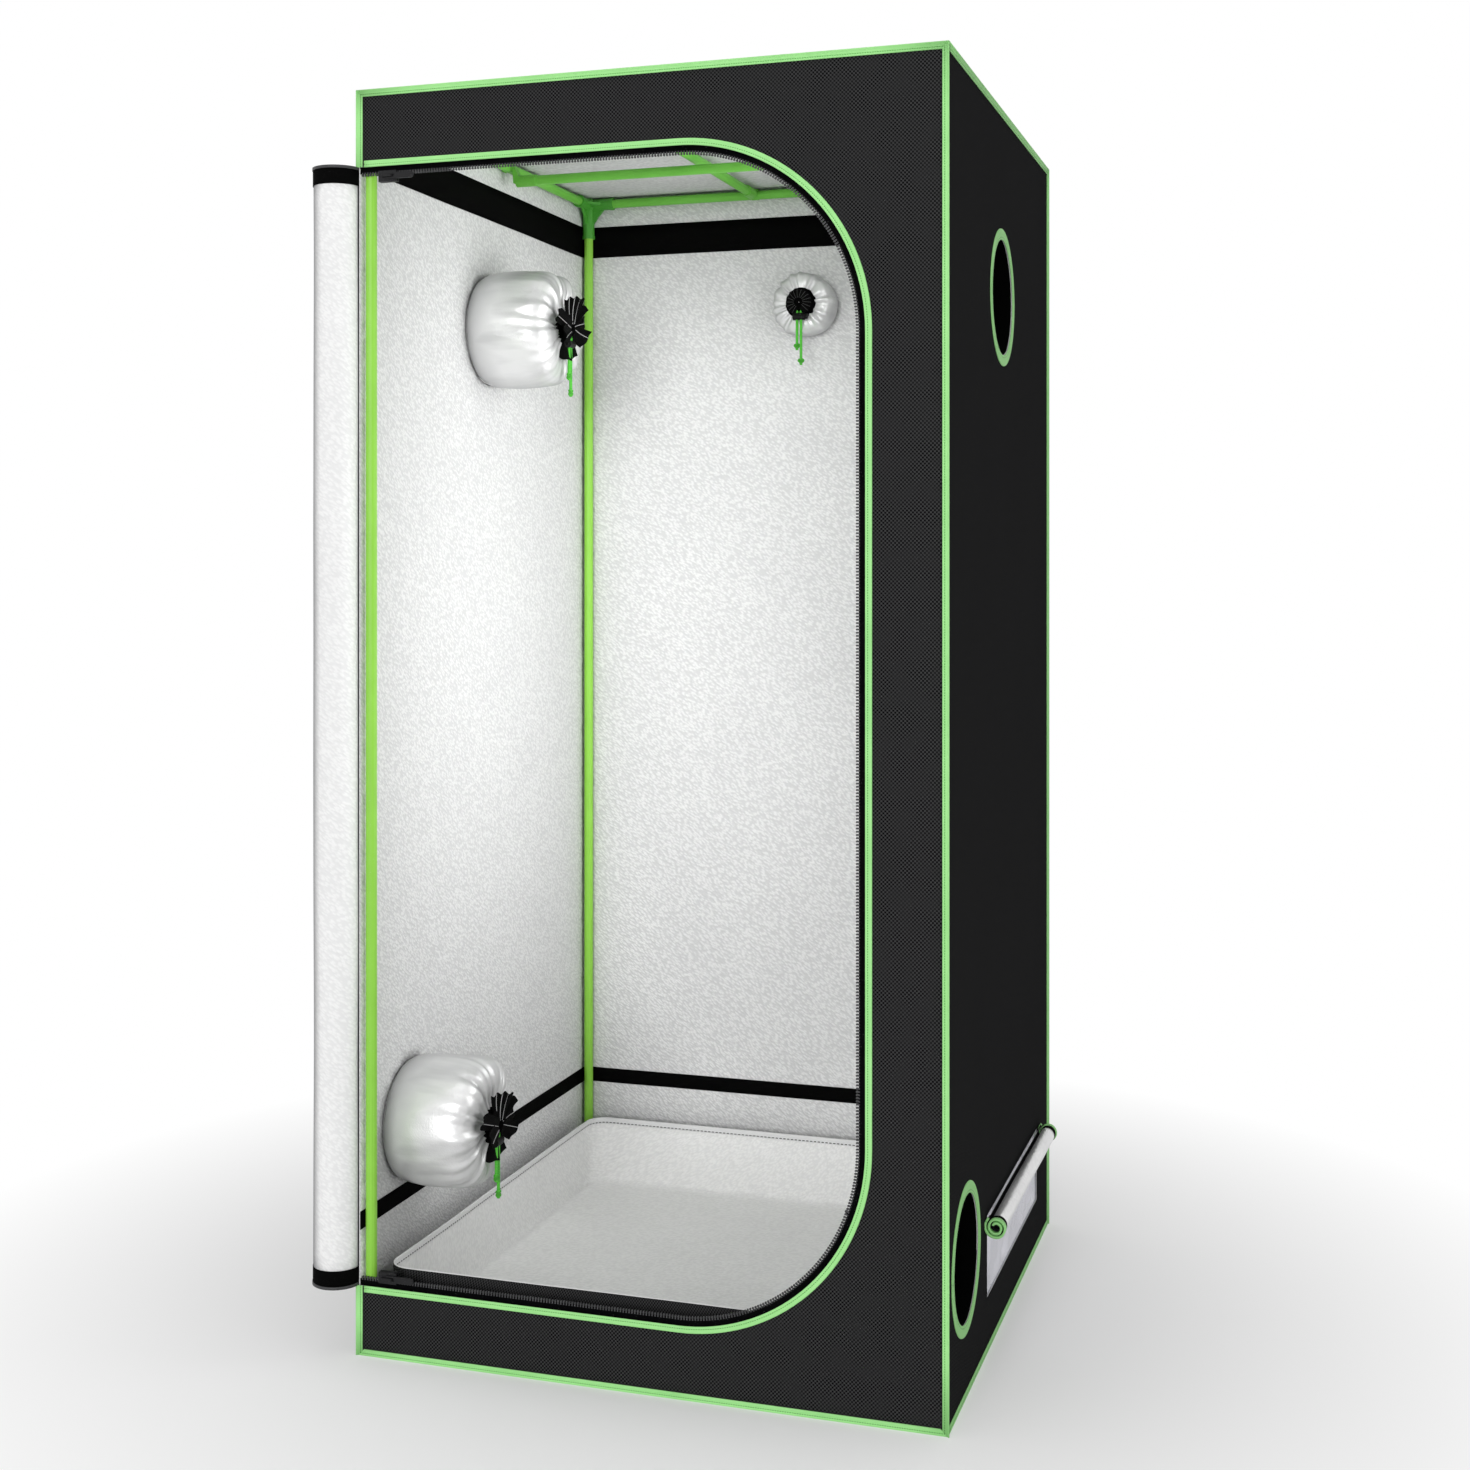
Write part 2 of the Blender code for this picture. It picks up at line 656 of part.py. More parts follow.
def build_connectors(plastic):
    """Eight corner connectors, each a mirror image of one mesh"""
    pattern = corner_sockets()
    for level, z, up in (("bottom", FRAME_LOW, 1), ("top", FRAME_HIGH, -1)):
        for end, y in (("front", -FRAME_Y), ("back", FRAME_Y)):
            for side, x in (("left", -FRAME_X), ("right", FRAME_X)):
                mesh = mirrored(pattern, -math.copysign(1, x), -math.copysign(1, y), up)
                name = "connector_" + "_".join((level, end, side))
                place(name, mesh, plastic, Matrix.Translation((x, y, z)))


def frame_tube(name, start, end, paint):
    """One tube whose ends stand in the sockets of the corners at start and end"""
    start, end = Vector(start), Vector(end)
    mesh = pipe(TUBE_RADIUS, TUBE_RADIUS - TUBE_WALL, TUBE_STOP, (end - start).length - TUBE_STOP)
    place(name, mesh, paint, Matrix.Translation(start) @ along(end - start))


def build_frame(paint, bright):
    """Four posts and the bottom and top rings of tubes"""
    for end, y in (("front", -FRAME_Y), ("back", FRAME_Y)):
        for side, x in (("left", -FRAME_X), ("right", FRAME_X)):
            frame_tube("post_" + end + "_" + side, (x, y, FRAME_LOW), (x, y, FRAME_HIGH), bright)
    for level, z in (("bottom", FRAME_LOW), ("top", FRAME_HIGH)):
        for end, y in (("front", -FRAME_Y), ("back", FRAME_Y)):
            frame_tube(level + "_tube_" + end, (-FRAME_X, y, z), (FRAME_X, y, z), paint)
        for side, x in (("left", -FRAME_X), ("right", FRAME_X)):
            frame_tube(level + "_tube_" + side, (x, -FRAME_Y, z), (x, FRAME_Y, z), paint)


def hook_mesh(drop):
    """A snap hook in X and Z: a ring open below round a tube at the origin, and a stem to the bar.

    The stem reaches in the +X direction and down by drop, to the bar's end sleeve.
    """
    inner = TUBE_RADIUS + SEAT_GAP
    outer = inner + HOOK_WALL
    gape = math.asin(HOOK_MOUTH / 2 / inner)
    turns = arc(-math.pi / 2 + gape, 1.5 * math.pi - gape, ROUND_SIDES)
    outline = [(outer * math.cos(a), outer * math.sin(a)) for a in turns]
    outline += [(inner * math.cos(a), inner * math.sin(a)) for a in reversed(turns)]
    ring = loft([[(x, y, z) for x, z in outline] for y in (-HOOK_WIDTH / 2, HOOK_WIDTH / 2)])
    start, end = inner + HOOK_WALL / 2, outer + HOOK_STEM
    thick, sleeve = HOOK_STEM / 2, BAR_RADIUS + HOOK_SLEEVE_WALL
    stem_outline = [
        (start, -thick),
        (start, thick),
        (outer, thick),
        (end, BAR_RADIUS - drop),
        (end, -BAR_RADIUS - drop),
        (outer, -BAR_RADIUS - drop + thick),
    ]
    stem = loft([[(x, y, z) for x, z in stem_outline] for y in (-HOOK_WIDTH / 2, HOOK_WIDTH / 2)])
    reach = end + HOOK_SLEEVE_LENGTH
    sleeve_body = moved(prism(circle(sleeve, ROUND_SIDES), end - thick, reach), along((1, 0, 0)))
    sleeve_body.transform(Matrix.Translation((0, 0, -drop)))
    return combine(ring, [stem, sleeve_body], "UNION"), reach


def bar_mesh(span, drop):
    """A hanging bar along X between two tubes, with a snap hook over each"""
    left, reach = hook_mesh(drop)
    right = mirrored(left, -1, 1, 1)
    left.transform(Matrix.Translation((-span / 2, 0, 0)))
    right.transform(Matrix.Translation((span / 2, 0, 0)))
    sunk = reach - HOOK_SLEEVE_LENGTH / 2
    rod = prism(circle(BAR_RADIUS, ROUND_SIDES), -span / 2 + sunk, span / 2 - sunk)
    rod.transform(Matrix.Translation((0, 0, -drop)) @ along((1, 0, 0)))
    return combine(rod, [left, right], "UNION")


def build_bars(paint):
    """Two hanging bars: one from side to side, and one from front to back that passes over it"""
    cross_at = Vector((0, CROSS_BAR_FROM_FRONT - TENT_DEPTH / 2, FRAME_HIGH))
    place("cross_bar", bar_mesh(2 * FRAME_X, CROSS_BAR_DROP), paint, Matrix.Translation(cross_at))
    long_drop = CROSS_BAR_DROP - 2 * BAR_RADIUS - BAR_CROSSING_GAP
    long_at = Vector((LONG_BAR_FROM_LEFT - TENT_WIDTH / 2, 0, FRAME_HIGH))
    turned = Matrix.Translation(long_at) @ Matrix.Rotation(math.pi / 2, 4, "Z")
    place("long_bar", bar_mesh(2 * FRAME_Y, long_drop), paint, turned)


def port_frame(wall, along_wall, height):
    """The frame of a port: Z points into the tent from the wall's inner face, and Y up"""
    if wall == "back":
        origin = (along_wall - TENT_WIDTH / 2, INSIDE_Y, height)
        return axes(Vector((1, 0, 0)), UP, Vector((0, -1, 0)), origin)
    side = -1 if wall == "left" else 1
    origin = (side * INSIDE_X, along_wall - TENT_DEPTH / 2, height)
    return axes(Vector((0, -side, 0)), UP, Vector((-side, 0, 0)), origin)


def port_list():
    """Where each port is, and how large"""
    duct = {"hole": DUCT_HOLE_RADIUS, "length": DUCT_SLEEVE_LENGTH, "ruffle": DUCT_RUFFLE_REACH}
    cable = {"hole": CABLE_HOLE_RADIUS, "length": CABLE_SLEEVE_LENGTH, "ruffle": CABLE_RUFFLE_REACH}
    rows = (
        ("upper_left", "left", UPPER_LEFT_FROM_FRONT, TENT_HEIGHT - UPPER_LEFT_BELOW_ROOF, duct),
        ("lower_left", "left", LOWER_LEFT_FROM_FRONT, LOWER_LEFT_ABOVE_FLOOR, duct),
        ("upper_right", "right", UPPER_RIGHT_FROM_FRONT, TENT_HEIGHT - UPPER_RIGHT_BELOW_ROOF, duct),
        ("lower_right", "right", LOWER_RIGHT_FROM_FRONT, LOWER_RIGHT_ABOVE_FLOOR, duct),
        ("upper_back", "back", UPPER_BACK_FROM_LEFT, TENT_HEIGHT - UPPER_BACK_BELOW_ROOF, cable),
    )
    return [
        {"name": name, "wall": wall, "frame": port_frame(wall, place_along, height), **size}
        for name, wall, place_along, height, size in rows
    ]


# Sleeve outline as shares: of the length inwards, and of the way from the neck to the full radius
SLEEVE_SHARES = ((0.3, 1.0), (0.78, 1.0), (0.95, 0.84), (1.0, 0.5), (0.995, 0.12))
LINING_SHARES = SLEEVE_SHARES[1::2]
# Ruffle outline as shares of its length and of its reach past the neck
RUFFLE_SHARES = ((0.0, 0.0), (0.45, 0.75), (1.0, 1.0))
# The ruffle's petals as shares: direction and half width of a full turn, and length of the reach
PETAL_SHARES = (
    (0.27, 0.08, 1.0),
    (0.12, 0.06, 0.8),
    (0.45, 0.07, 0.83),
    (0.96, 0.06, 0.65),
    (0.6, 0.06, 0.6),
)


def pleat(index, depth_share):
    """How a point's radius changes in a pleated ring: out and in by turns"""
    return 1 + PLEAT_SHARE * depth_share * (1 if index % 2 else -1)


def ruffle_fan(turn_share):
    """How far the ruffle opens at a share of a turn: five petals, and closed below for the cord"""
    opened = 0
    for direction, half_width, length in PETAL_SHARES:
        off = abs((turn_share - direction + 1 / 2) % 1 - 1 / 2)
        if off < half_width:
            opened = max(opened, length * math.sqrt(math.cos(math.pi / 2 * off / half_width)))
    return opened


def pleated_ring(radius, height, depth_share):
    """One ring of the sleeve, pleated by a share"""
    points = circle(1, PORT_SIDES)
    return [
        (radius * pleat(i, depth_share) * x, radius * pleat(i, depth_share) * y, height)
        for i, (x, y) in enumerate(points)
    ]


def sleeve_ring(full, length, skin, shares):
    """One ring of the sleeve's drum, or of its inside where it has a skin to keep"""
    length_share, radius_share = shares
    radius = NECK_RADIUS + (full - NECK_RADIUS) * radius_share
    return pleated_ring(radius, length * length_share - skin, (1 - radius_share) ** 0.5)


def ruffle_ring(reach, height):
    """One ring of the ruffle past the neck"""
    ring = []
    for i, (x, y) in enumerate(circle(1, PORT_SIDES)):
        radius = NECK_RADIUS + reach * ruffle_fan(i / PORT_SIDES)
        ring.append((radius * x, radius * y, height))
    return ring


def sleeve_mesh(hole, length, reach):
    """A duct sleeve drawn shut at its inner end, open to the outside through the wall's hole"""
    mouth = hole + SLEEVE_MOUTH_CLEARANCE + SLEEVE_CLOTH
    full = sleeve_radius(hole)
    base = SEAT_GAP
    neck_at = length + NECK_STANDOFF
    outside = [pleated_ring(hole + FLANGE_WIDTH + SLEEVE_CLOTH, base, 0)]
    outside.append(pleated_ring(hole + FLANGE_WIDTH + SLEEVE_CLOTH, base + SLEEVE_CLOTH, 0))
    outside.append(pleated_ring(mouth + SLEEVE_CLOTH / 2, base + SLEEVE_CLOTH * 2, 0))
    inside = [pleated_ring(mouth - SLEEVE_CLOTH, base, 0)]
    for shares in SLEEVE_SHARES:
        outside.append(sleeve_ring(full, length, 0, shares))
    for shares in LINING_SHARES:
        inside.append(sleeve_ring(full - SLEEVE_CLOTH, length, SLEEVE_CLOTH, shares))
    inside.append(pleated_ring(NECK_RADIUS, length - SLEEVE_CLOTH, 0))
    outside.append(pleated_ring(NECK_RADIUS, neck_at - NECK_LENGTH / 2, 0))
    for length_share, reach_share in RUFFLE_SHARES:
        height = neck_at + NECK_LENGTH / 2 + RUFFLE_LENGTH * length_share
        outside.append(ruffle_ring(reach * reach_share, height))
    hollow_at = neck_at + NECK_LENGTH / 2 + RUFFLE_LENGTH - RUFFLE_HOLLOW
    outside.append(pleated_ring(NECK_RADIUS / 2, hollow_at, 0))
    return loft(list(reversed(inside)) + outside)


def loop_radius():
    """Radius of the drawstring's turn round the neck, large enough for its flats to clear the pleats"""
    chord = 2 * math.pi / CORD_LOOP_STEPS
    return (NECK_RADIUS * (1 + PLEAT_SHARE) + SEAT_GAP + CORD_RADIUS) / math.cos(chord / 2)


def lock_height():
    """Height of the cord lock's middle, which is below the port's axis"""
    return -loop_radius() - CORD_RADIUS - LOCK_STANDOFF - LOCK_RADIUS


def tail_route(strand, length):
    """One tail from its end up through the lock, with the share of the cord's radius at each place"""
    top, bottom = lock_height() + LOCK_RADIUS, lock_height() - LOCK_RADIUS
    knot = bottom - length + CORD_STEP
    return [
        (strand, bottom - length, 1),
        (strand, knot, KNOT_SHARE),
        (strand, knot + CORD_STEP, 1),
        (strand, bottom - CORD_RADIUS, 1),
        (strand, bottom, 1),
        (strand, top, 1),
        (strand, top + CORD_RADIUS / 2, 1),
    ]


def cord_route():
    """The drawstring's line: a tail, up through the lock, round the neck, and down to the other tail"""
    half = STRAND_SPACING / 2
    spread = math.asin(2 * half / loop_radius())
    loop = [
        (loop_radius() * math.sin(a), -loop_radius() * math.cos(a), 1)
        for a in arc(-spread, spread - 2 * math.pi, CORD_LOOP_STEPS)
    ]
    return tail_route(-half, SHORT_TAIL) + loop + tail_route(half, LONG_TAIL)[::-1]


def smooth_route(route):
    """Points along a smooth curve through the places of a route, none further apart than a step"""
    before = tuple(2 * a - b for a, b in zip(route[0], route[1]))
    after = tuple(2 * a - b for a, b in zip(route[-1], route[-2]))
    ends = [Vector(place_at) for place_at in (before, *route, after)]
    points = [ends[1]]
    for a, b, c, d in zip(ends, ends[1:], ends[2:], ends[3:]):
        steps = max(1, round((c - b).xy.length / CORD_STEP))
        for i in range(1, steps + 1):
            t = i / steps
            turn = (2 * a - 5 * b + 4 * c - d) * t**2 + (3 * b - a - 3 * c + d) * t**3
            points.append(b + ((c - a) * t + turn) / 2)
    return points


def cord_object(name, height, braid, frame):
    """A round cord along its smooth route, in a plane at a height above the wall"""
    curve = bpy.data.curves.new(name, "CURVE")
    curve.dimensions = "3D"
    curve.bevel_depth = CORD_RADIUS
    curve.bevel_resolution = 2
    curve.use_fill_caps = True
    points = smooth_route(cord_route())
    spline = curve.splines.new("POLY")
    spline.points.add(len(points) - 1)
    for point, (x, y, share) in zip(spline.points, points):
        point.co = (x, y, height, 1)
        point.radius = max(share, 1)
    curve.materials.append(braid)
    cord = bpy.data.objects.new(name, curve)
    bpy.context.scene.collection.objects.link(cord)
    cord.matrix_world = frame
    return cord


def lock_mesh():
    """A cord lock: a barrel with two cross bores for the strands and a button at one end"""
    half = LOCK_LENGTH / 2
    body = prism(circle(LOCK_RADIUS, ROUND_SIDES), -half, half)
    button = prism(circle(LOCK_BUTTON_RADIUS, ROUND_SIDES), 0, half + LOCK_BUTTON_LENGTH)
    barrel = moved(combine(body, [button], "UNION"), along((1, 0, 0)))
    bore = CORD_RADIUS + LOCK_BORE_CLEARANCE
    reach = LOCK_RADIUS + CUT_OVERRUN
    bores = []
    for side in (-1, 1):
        cutter = moved(prism(circle(bore, ROUND_SIDES // 2), -reach, reach), along((0, 1, 0)))
        bores.append(moved(cutter, Matrix.Translation((side * STRAND_SPACING / 2, 0, 0))))
    return combine(barrel, bores, "DIFFERENCE")


def build_ports(ports, lining, tape, braid, plastic):
    """Binding ring, sleeve, drawstring and cord lock of every port"""
    for port in ports:
        name, frame, length = port["name"], port["frame"], port["length"]
        hole, face = port["hole"], -COVER_CLOTH - SEAT_GAP
        ring = pipe(hole + RING_WIDTH, hole, face - RING_THICKNESS, face, PORT_SIDES)
        place("port_ring_" + name, ring, tape, frame)
        place("sleeve_" + name, sleeve_mesh(hole, length, port["ruffle"]), lining, frame)
        cord_object("drawstring_" + name, length + NECK_STANDOFF, braid, frame)
        lock_at = frame @ Matrix.Translation((0, lock_height(), length + NECK_STANDOFF))
        place("cord_lock_" + name, lock_mesh(), plastic, lock_at)


def net_mesh(width, height):
    """A flat net in X and Y with square-cornered gaps between its strands"""
    xs, ys = net_lines(width, NET_COLUMNS), net_lines(height, NET_ROWS)
    sheet = bmesh.new()
    grid = [[sheet.verts.new((x, y, 0)) for y in ys] for x in xs]
    for i in range(len(xs) - 1):
        for j in range(len(ys) - 1):
            if i % 2 and j % 2:
                continue
            sheet.faces.new((grid[i][j], grid[i + 1][j], grid[i + 1][j + 1], grid[i][j + 1]))
    raised = bmesh.ops.extrude_face_region(sheet, geom=list(sheet.faces))
    lifted = [item for item in raised["geom"] if isinstance(item, bmesh.types.BMVert)]
    bmesh.ops.translate(sheet, verts=lifted, vec=(0, 0, NET_THICKNESS))
    bmesh.ops.recalc_face_normals(sheet, faces=sheet.faces)
    mesh = bpy.data.meshes.new("net")
    sheet.to_mesh(mesh)
    sheet.free()
    return mesh


def net_lines(size, gaps):
    """Edges of the strands across one direction of the net, with a hem at both sides"""
    inside = size - 2 * NET_OVERLAP
    pitch = (inside + NET_STRAND) / gaps
    lines = [0]
    for i in range(gaps):
        lines += [NET_OVERLAP + i * pitch, NET_OVERLAP + (i + 1) * pitch - NET_STRAND]
    lines.append(size)
    return lines


def build_vent(thread, lining):
    """The net behind the vent's window, and the flap rolled up over it outside"""
    near = VENT_FROM_FRONT - TENT_DEPTH / 2
    corner = Vector((INSIDE_X - SEAT_GAP, near - NET_OVERLAP, VENT_ABOVE_FLOOR - NET_OVERLAP))
    frame = axes(Vector((0, 1, 0)), UP, Vector((1, 0, 0)), corner - Vector((NET_THICKNESS, 0, 0)))
    place("vent_net", net_mesh(VENT_LENGTH + 2 * NET_OVERLAP, VENT_HEIGHT + 2 * NET_OVERLAP), thread, frame)

    flap_length = VENT_LENGTH + 2 * FLAP_SIDE_LAP
    flap_height = VENT_HEIGHT + FLAP_BOTTOM_LAP
    middle = VENT_ABOVE_FLOOR + VENT_HEIGHT - FLAP_ROLL_RAISE
    seam = Vector((COVER_X, 0, middle + FLAP_ROLL_RADIUS))
    hinge = pivot("vent_flap_pivot", seam)
    start = Vector((COVER_X + SEAT_GAP + FLAP_ROLL_RADIUS, near - FLAP_SIDE_LAP, middle))
    ends, first_turn = lambda used: (0, flap_length), 1.25 * math.pi
    roll = rolled_cloth(FLAP_ROLL_RADIUS, FLAP_ROLL_PITCH, flap_height, ends, first_turn)
    frame = axes(Vector((1, 0, 0)), Vector((0, 0, -1)), Vector((0, 1, 0)), start)
    place("vent_flap_roll", roll, lining, frame, hinge)


def rounded_rectangle(half_x, half_y, radius):
    """An outline with round corners, centred on the origin, with more points along its right side"""
    points = []
    for turn, x, y in ((0, 1, 1), (1, -1, 1), (2, -1, -1), (3, 1, -1)):
        for a in arc(turn * math.pi / 2, (turn + 1) * math.pi / 2, ARC_STEPS // 2):
            centre_x, centre_y = x * (half_x - radius), y * (half_y - radius)
            points.append((centre_x + radius * math.cos(a), centre_y + radius * math.sin(a)))
    side = 2 * (half_y - radius)
    for i in range(1, TRAY_SIDE_STEPS):
        points.append((half_x, side * i / TRAY_SIDE_STEPS - side / 2))
    return points


def sleeve_radius(hole):
    """Outer radius of a sleeve at its widest"""
    return hole + SLEEVE_MOUTH_CLEARANCE + SLEEVE_CLOTH + SLEEVE_BULGE


def lip_top(x, y):
    """Height of the tray's lip, which is pressed down under the lower right sleeve"""
    top = COVER_CLOTH + SEAT_GAP + TRAY_HEIGHT
    reach = sleeve_radius(DUCT_HOLE_RADIUS) + TRAY_DIP_CLEARANCE
    off = y - LOWER_RIGHT_FROM_FRONT + TENT_DEPTH / 2
    if x < 0 or abs(off) >= reach:
        return top
    return min(top, LOWER_RIGHT_ABOVE_FLOOR - math.sqrt(reach**2 - off**2))


def build_floor_tray(lining):
    """The tray for spills: a floor with a lip all round, inside the frame"""
    half_x = FRAME_X - COLLAR_RADIUS - TRAY_FRAME_CLEARANCE
    half_y = FRAME_Y - COLLAR_RADIUS - TRAY_FRAME_CLEARANCE
    outer = rounded_rectangle(half_x, half_y, TRAY_CORNER_RADIUS)
    inner = rounded_rectangle(half_x - TRAY_CLOTH, half_y - TRAY_CLOTH, TRAY_CORNER_RADIUS - TRAY_CLOTH)
    low = COVER_CLOTH + SEAT_GAP
    rings = [
        [(x, y, low) for x, y in outer],
        [(x, y, lip_top(x, y)) for x, y in outer],
        [(x, y, lip_top(x, y)) for x, y in inner],
        [(x, y, low + TRAY_CLOTH) for x, y in inner],
    ]
    place("floor_tray", loft(rings), lining)


def main():
    clear_scene()
    shell, lining, tape = shell_cloth(), lining_cloth(), binding_tape()
    ports = port_list()
    build_front_panel(shell)
    build_walls(shell, ports)
    build_roof_and_floor(shell)
    build_edge_binding(tape)
    build_door_binding(tape)
    build_zip_tape(zipper_plastic())
    build_zip_sliders(zipper_metal())
    build_door_roll(lining)
    build_connectors(connector_plastic())
    build_frame(tube_paint(), post_paint())
    build_bars(tube_paint())
    build_ports(ports, lining, tape, cord_braid(), lock_plastic())
    build_vent(net_thread(), lining)
    build_floor_tray(lining)


main()
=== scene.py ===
# %% [markdown]
# # Indoor grow tent
# The tent is a cloth cover over a frame of green tubes. The frame, its connectors and its fastenings
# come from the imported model. Everything sewn is modelled here: a cloth panel is a thin sheet with
# two faces, a tape is a profile swept along an edge, and a roll is a spiral.

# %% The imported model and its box
import json
import math

import bpy
from mathutils import Matrix, Vector, geometry, noise


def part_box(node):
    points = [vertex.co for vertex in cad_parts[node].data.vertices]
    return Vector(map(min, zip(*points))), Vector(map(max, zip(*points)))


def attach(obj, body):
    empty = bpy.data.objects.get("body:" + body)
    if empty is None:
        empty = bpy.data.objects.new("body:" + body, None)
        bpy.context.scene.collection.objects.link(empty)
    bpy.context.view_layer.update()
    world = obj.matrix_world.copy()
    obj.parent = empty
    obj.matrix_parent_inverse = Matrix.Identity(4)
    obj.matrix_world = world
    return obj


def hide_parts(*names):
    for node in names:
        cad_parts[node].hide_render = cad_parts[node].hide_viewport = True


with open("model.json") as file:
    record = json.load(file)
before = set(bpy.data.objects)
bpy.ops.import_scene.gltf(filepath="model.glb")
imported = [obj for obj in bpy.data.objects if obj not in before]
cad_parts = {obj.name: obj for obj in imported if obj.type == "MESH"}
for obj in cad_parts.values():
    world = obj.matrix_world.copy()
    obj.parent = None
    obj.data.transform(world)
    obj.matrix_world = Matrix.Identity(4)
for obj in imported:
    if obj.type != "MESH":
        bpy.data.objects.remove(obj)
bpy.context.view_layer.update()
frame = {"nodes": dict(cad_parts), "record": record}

# %% [markdown]
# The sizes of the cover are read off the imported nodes, so that every sheet lands on its solid.
# Only what a node's box can't tell, such as a corner's radius, is written here as a number.

# %% Sizes of the cover
HALF_X, HALF_Y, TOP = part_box("edge_binding")[1]
INSIDE_X, COVER_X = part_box("right_wall")[0].x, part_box("right_wall")[1].x
INSIDE_Y, COVER_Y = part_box("back_wall")[0].y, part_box("back_wall")[1].y
WALL_LOW, WALL_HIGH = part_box("right_wall")[0].z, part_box("right_wall")[1].z
TAPE_WIDTH = 0.009
TAPE_PROUD = 0.0013
CLOTH = 0.0011
DOOR_CORNER = 0.26
DOOR_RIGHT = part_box("door_binding")[1].x - TAPE_WIDTH
DOOR_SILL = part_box("door_binding")[0].z + TAPE_WIDTH
DOOR_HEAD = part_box("door_binding")[1].z - TAPE_WIDTH
ZIP_Y = (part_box("zip_tape")[0].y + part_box("zip_tape")[1].y) / 2
UP = Vector((0, 0, 1))
print("cover", round(2 * HALF_X, 4), round(2 * HALF_Y, 4), round(TOP, 4))

# %% [markdown]
# ## Camera
# The photograph was taken from in front and to the right, a little above the tent's middle. The lens
# is shifted down instead of tilted, which keeps the tent's upright edges upright in the picture.

# %% Camera
CAMERA_PLACE = Vector((0.927, -2.892, 1.124))
CAMERA_TURN = math.radians(17.85)
LENS, SENSOR = 47.46, 36
SHIFT = (0.0024, -0.115)
camera_data = bpy.data.cameras.new("camera")
camera_data.lens = LENS
camera_data.sensor_width = SENSOR
camera_data.shift_x, camera_data.shift_y = SHIFT
camera = bpy.data.objects.new("camera", camera_data)
camera.location = CAMERA_PLACE
camera.rotation_euler = (math.pi / 2, 0, CAMERA_TURN)
bpy.context.scene.collection.objects.link(camera)
bpy.context.scene.camera = camera
bpy.context.scene.view_settings.view_transform = "Standard"

# %% [markdown]
# ## Where the ports are
# The ports are read off their packed rings: the ring's thin direction is the wall's, its middle is the
# port's, and its width is the port's outer diameter. The neck of each sleeve is read off its cord lock.

# %% Ports
RING_NODE = "port_ring_"
RING_WIDTH = 0.016
NECK_STANDOFF = 0.0095


def port_facts(name):
    """A port's wall, hole radius and sleeve, and the frame whose Z points into the tent and Y up"""
    low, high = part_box(RING_NODE + name)
    size, middle = high - low, (low + high) / 2
    hole = size.z / 2 - RING_WIDTH
    if size.x < size.y:
        wall = "left" if middle.x < 0 else "right"
        inward = Vector((-math.copysign(1, middle.x), 0, 0))
        middle.x = math.copysign(INSIDE_X, middle.x)
    else:
        wall, inward = "back", Vector((0, -1, 0))
        middle.y = INSIDE_Y
    turn = Matrix((UP.cross(inward), UP, inward)).transposed().to_4x4()
    place = Matrix.Translation(middle) @ turn
    lock_low, lock_high = (place.inverted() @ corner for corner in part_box("cord_lock_" + name))
    neck = (lock_low.z + lock_high.z) / 2
    return {
        "name": name,
        "wall": wall,
        "hole": hole,
        "middle": middle,
        "frame": place,
        "neck": neck,
        "length": neck - NECK_STANDOFF,
        "lock": (lock_low.y + lock_high.y) / 2,
    }


ring_nodes = [name for name in sorted(frame["nodes"]) if name.startswith(RING_NODE)]
ports = [port_facts(name[len(RING_NODE):]) for name in ring_nodes]
for port in ports:
    print("port", port["name"], "hole", round(port["hole"], 4), "sleeve", round(port["length"], 4))

# %% [markdown]
# ## Drawstrings
# Each sleeve is drawn shut by a cord that runs round its neck and down through a spring lock, with a
# knot near each end. Its line is a smooth curve through the places where the cord is held, and the
# cord's weight makes the two tails hang straight. A curve with a round bevel gives the cord's skin,
# which is then kept as a mesh, because a curve's own box is drawn far too wide.

# %% Helper: a smooth line through places
CORD_RADIUS = 0.0025
CORD_STEP = 0.0068
FINE_CORD_STEP = 0.0017


def smooth_line(places, step):
    """Points along a smooth curve through the places, about a step apart"""
    ends = [2 * places[0] - places[1], *places, 2 * places[-1] - places[-2]]
    points = [places[0].copy()]
    for a, b, c, d in zip(ends, ends[1:], ends[2:], ends[3:]):
        count = max(1, round((c - b).length / step))
        for i in range(1, count + 1):
            t = i / count
            turn = (2 * a - 5 * b + 4 * c - d) * t**2 + (3 * b - a - 3 * c + d) * t**3
            points.append(b + ((c - a) * t + turn) / 2)
    return points


# %% The route of a drawstring
LOOP_RADIUS = 0.01476
LOOP_STEPS = 14
LOCK_RADIUS = 0.0066
STRAND = 0.0036
SHORT_TAIL, LONG_TAIL = 0.052, 0.078


def tail_route(strand, length, lock):
    """One tail of the cord, from its end up through the lock"""
    top, bottom = lock + LOCK_RADIUS, lock - LOCK_RADIUS
    knot = bottom - length + CORD_STEP
    hanging = (bottom - length, knot, knot + CORD_STEP, bottom - CORD_RADIUS)
    return [Vector((strand, height, 0)) for height in (*hanging, bottom, top, top + CORD_RADIUS / 2)]


def drawstring_route(port):
    """A tail, up through the lock, round the neck, and down to the other tail, in the port's frame"""
    spread = math.asin(2 * STRAND / LOOP_RADIUS)
    turns = [-spread + (2 * spread - 2 * math.pi) * i / LOOP_STEPS for i in range(LOOP_STEPS + 1)]
    loop = [Vector((LOOP_RADIUS * math.sin(a), -LOOP_RADIUS * math.cos(a), 0)) for a in turns]
    places = tail_route(-STRAND, SHORT_TAIL, port["lock"]) + loop
    return places + tail_route(STRAND, LONG_TAIL, port["lock"])[::-1]


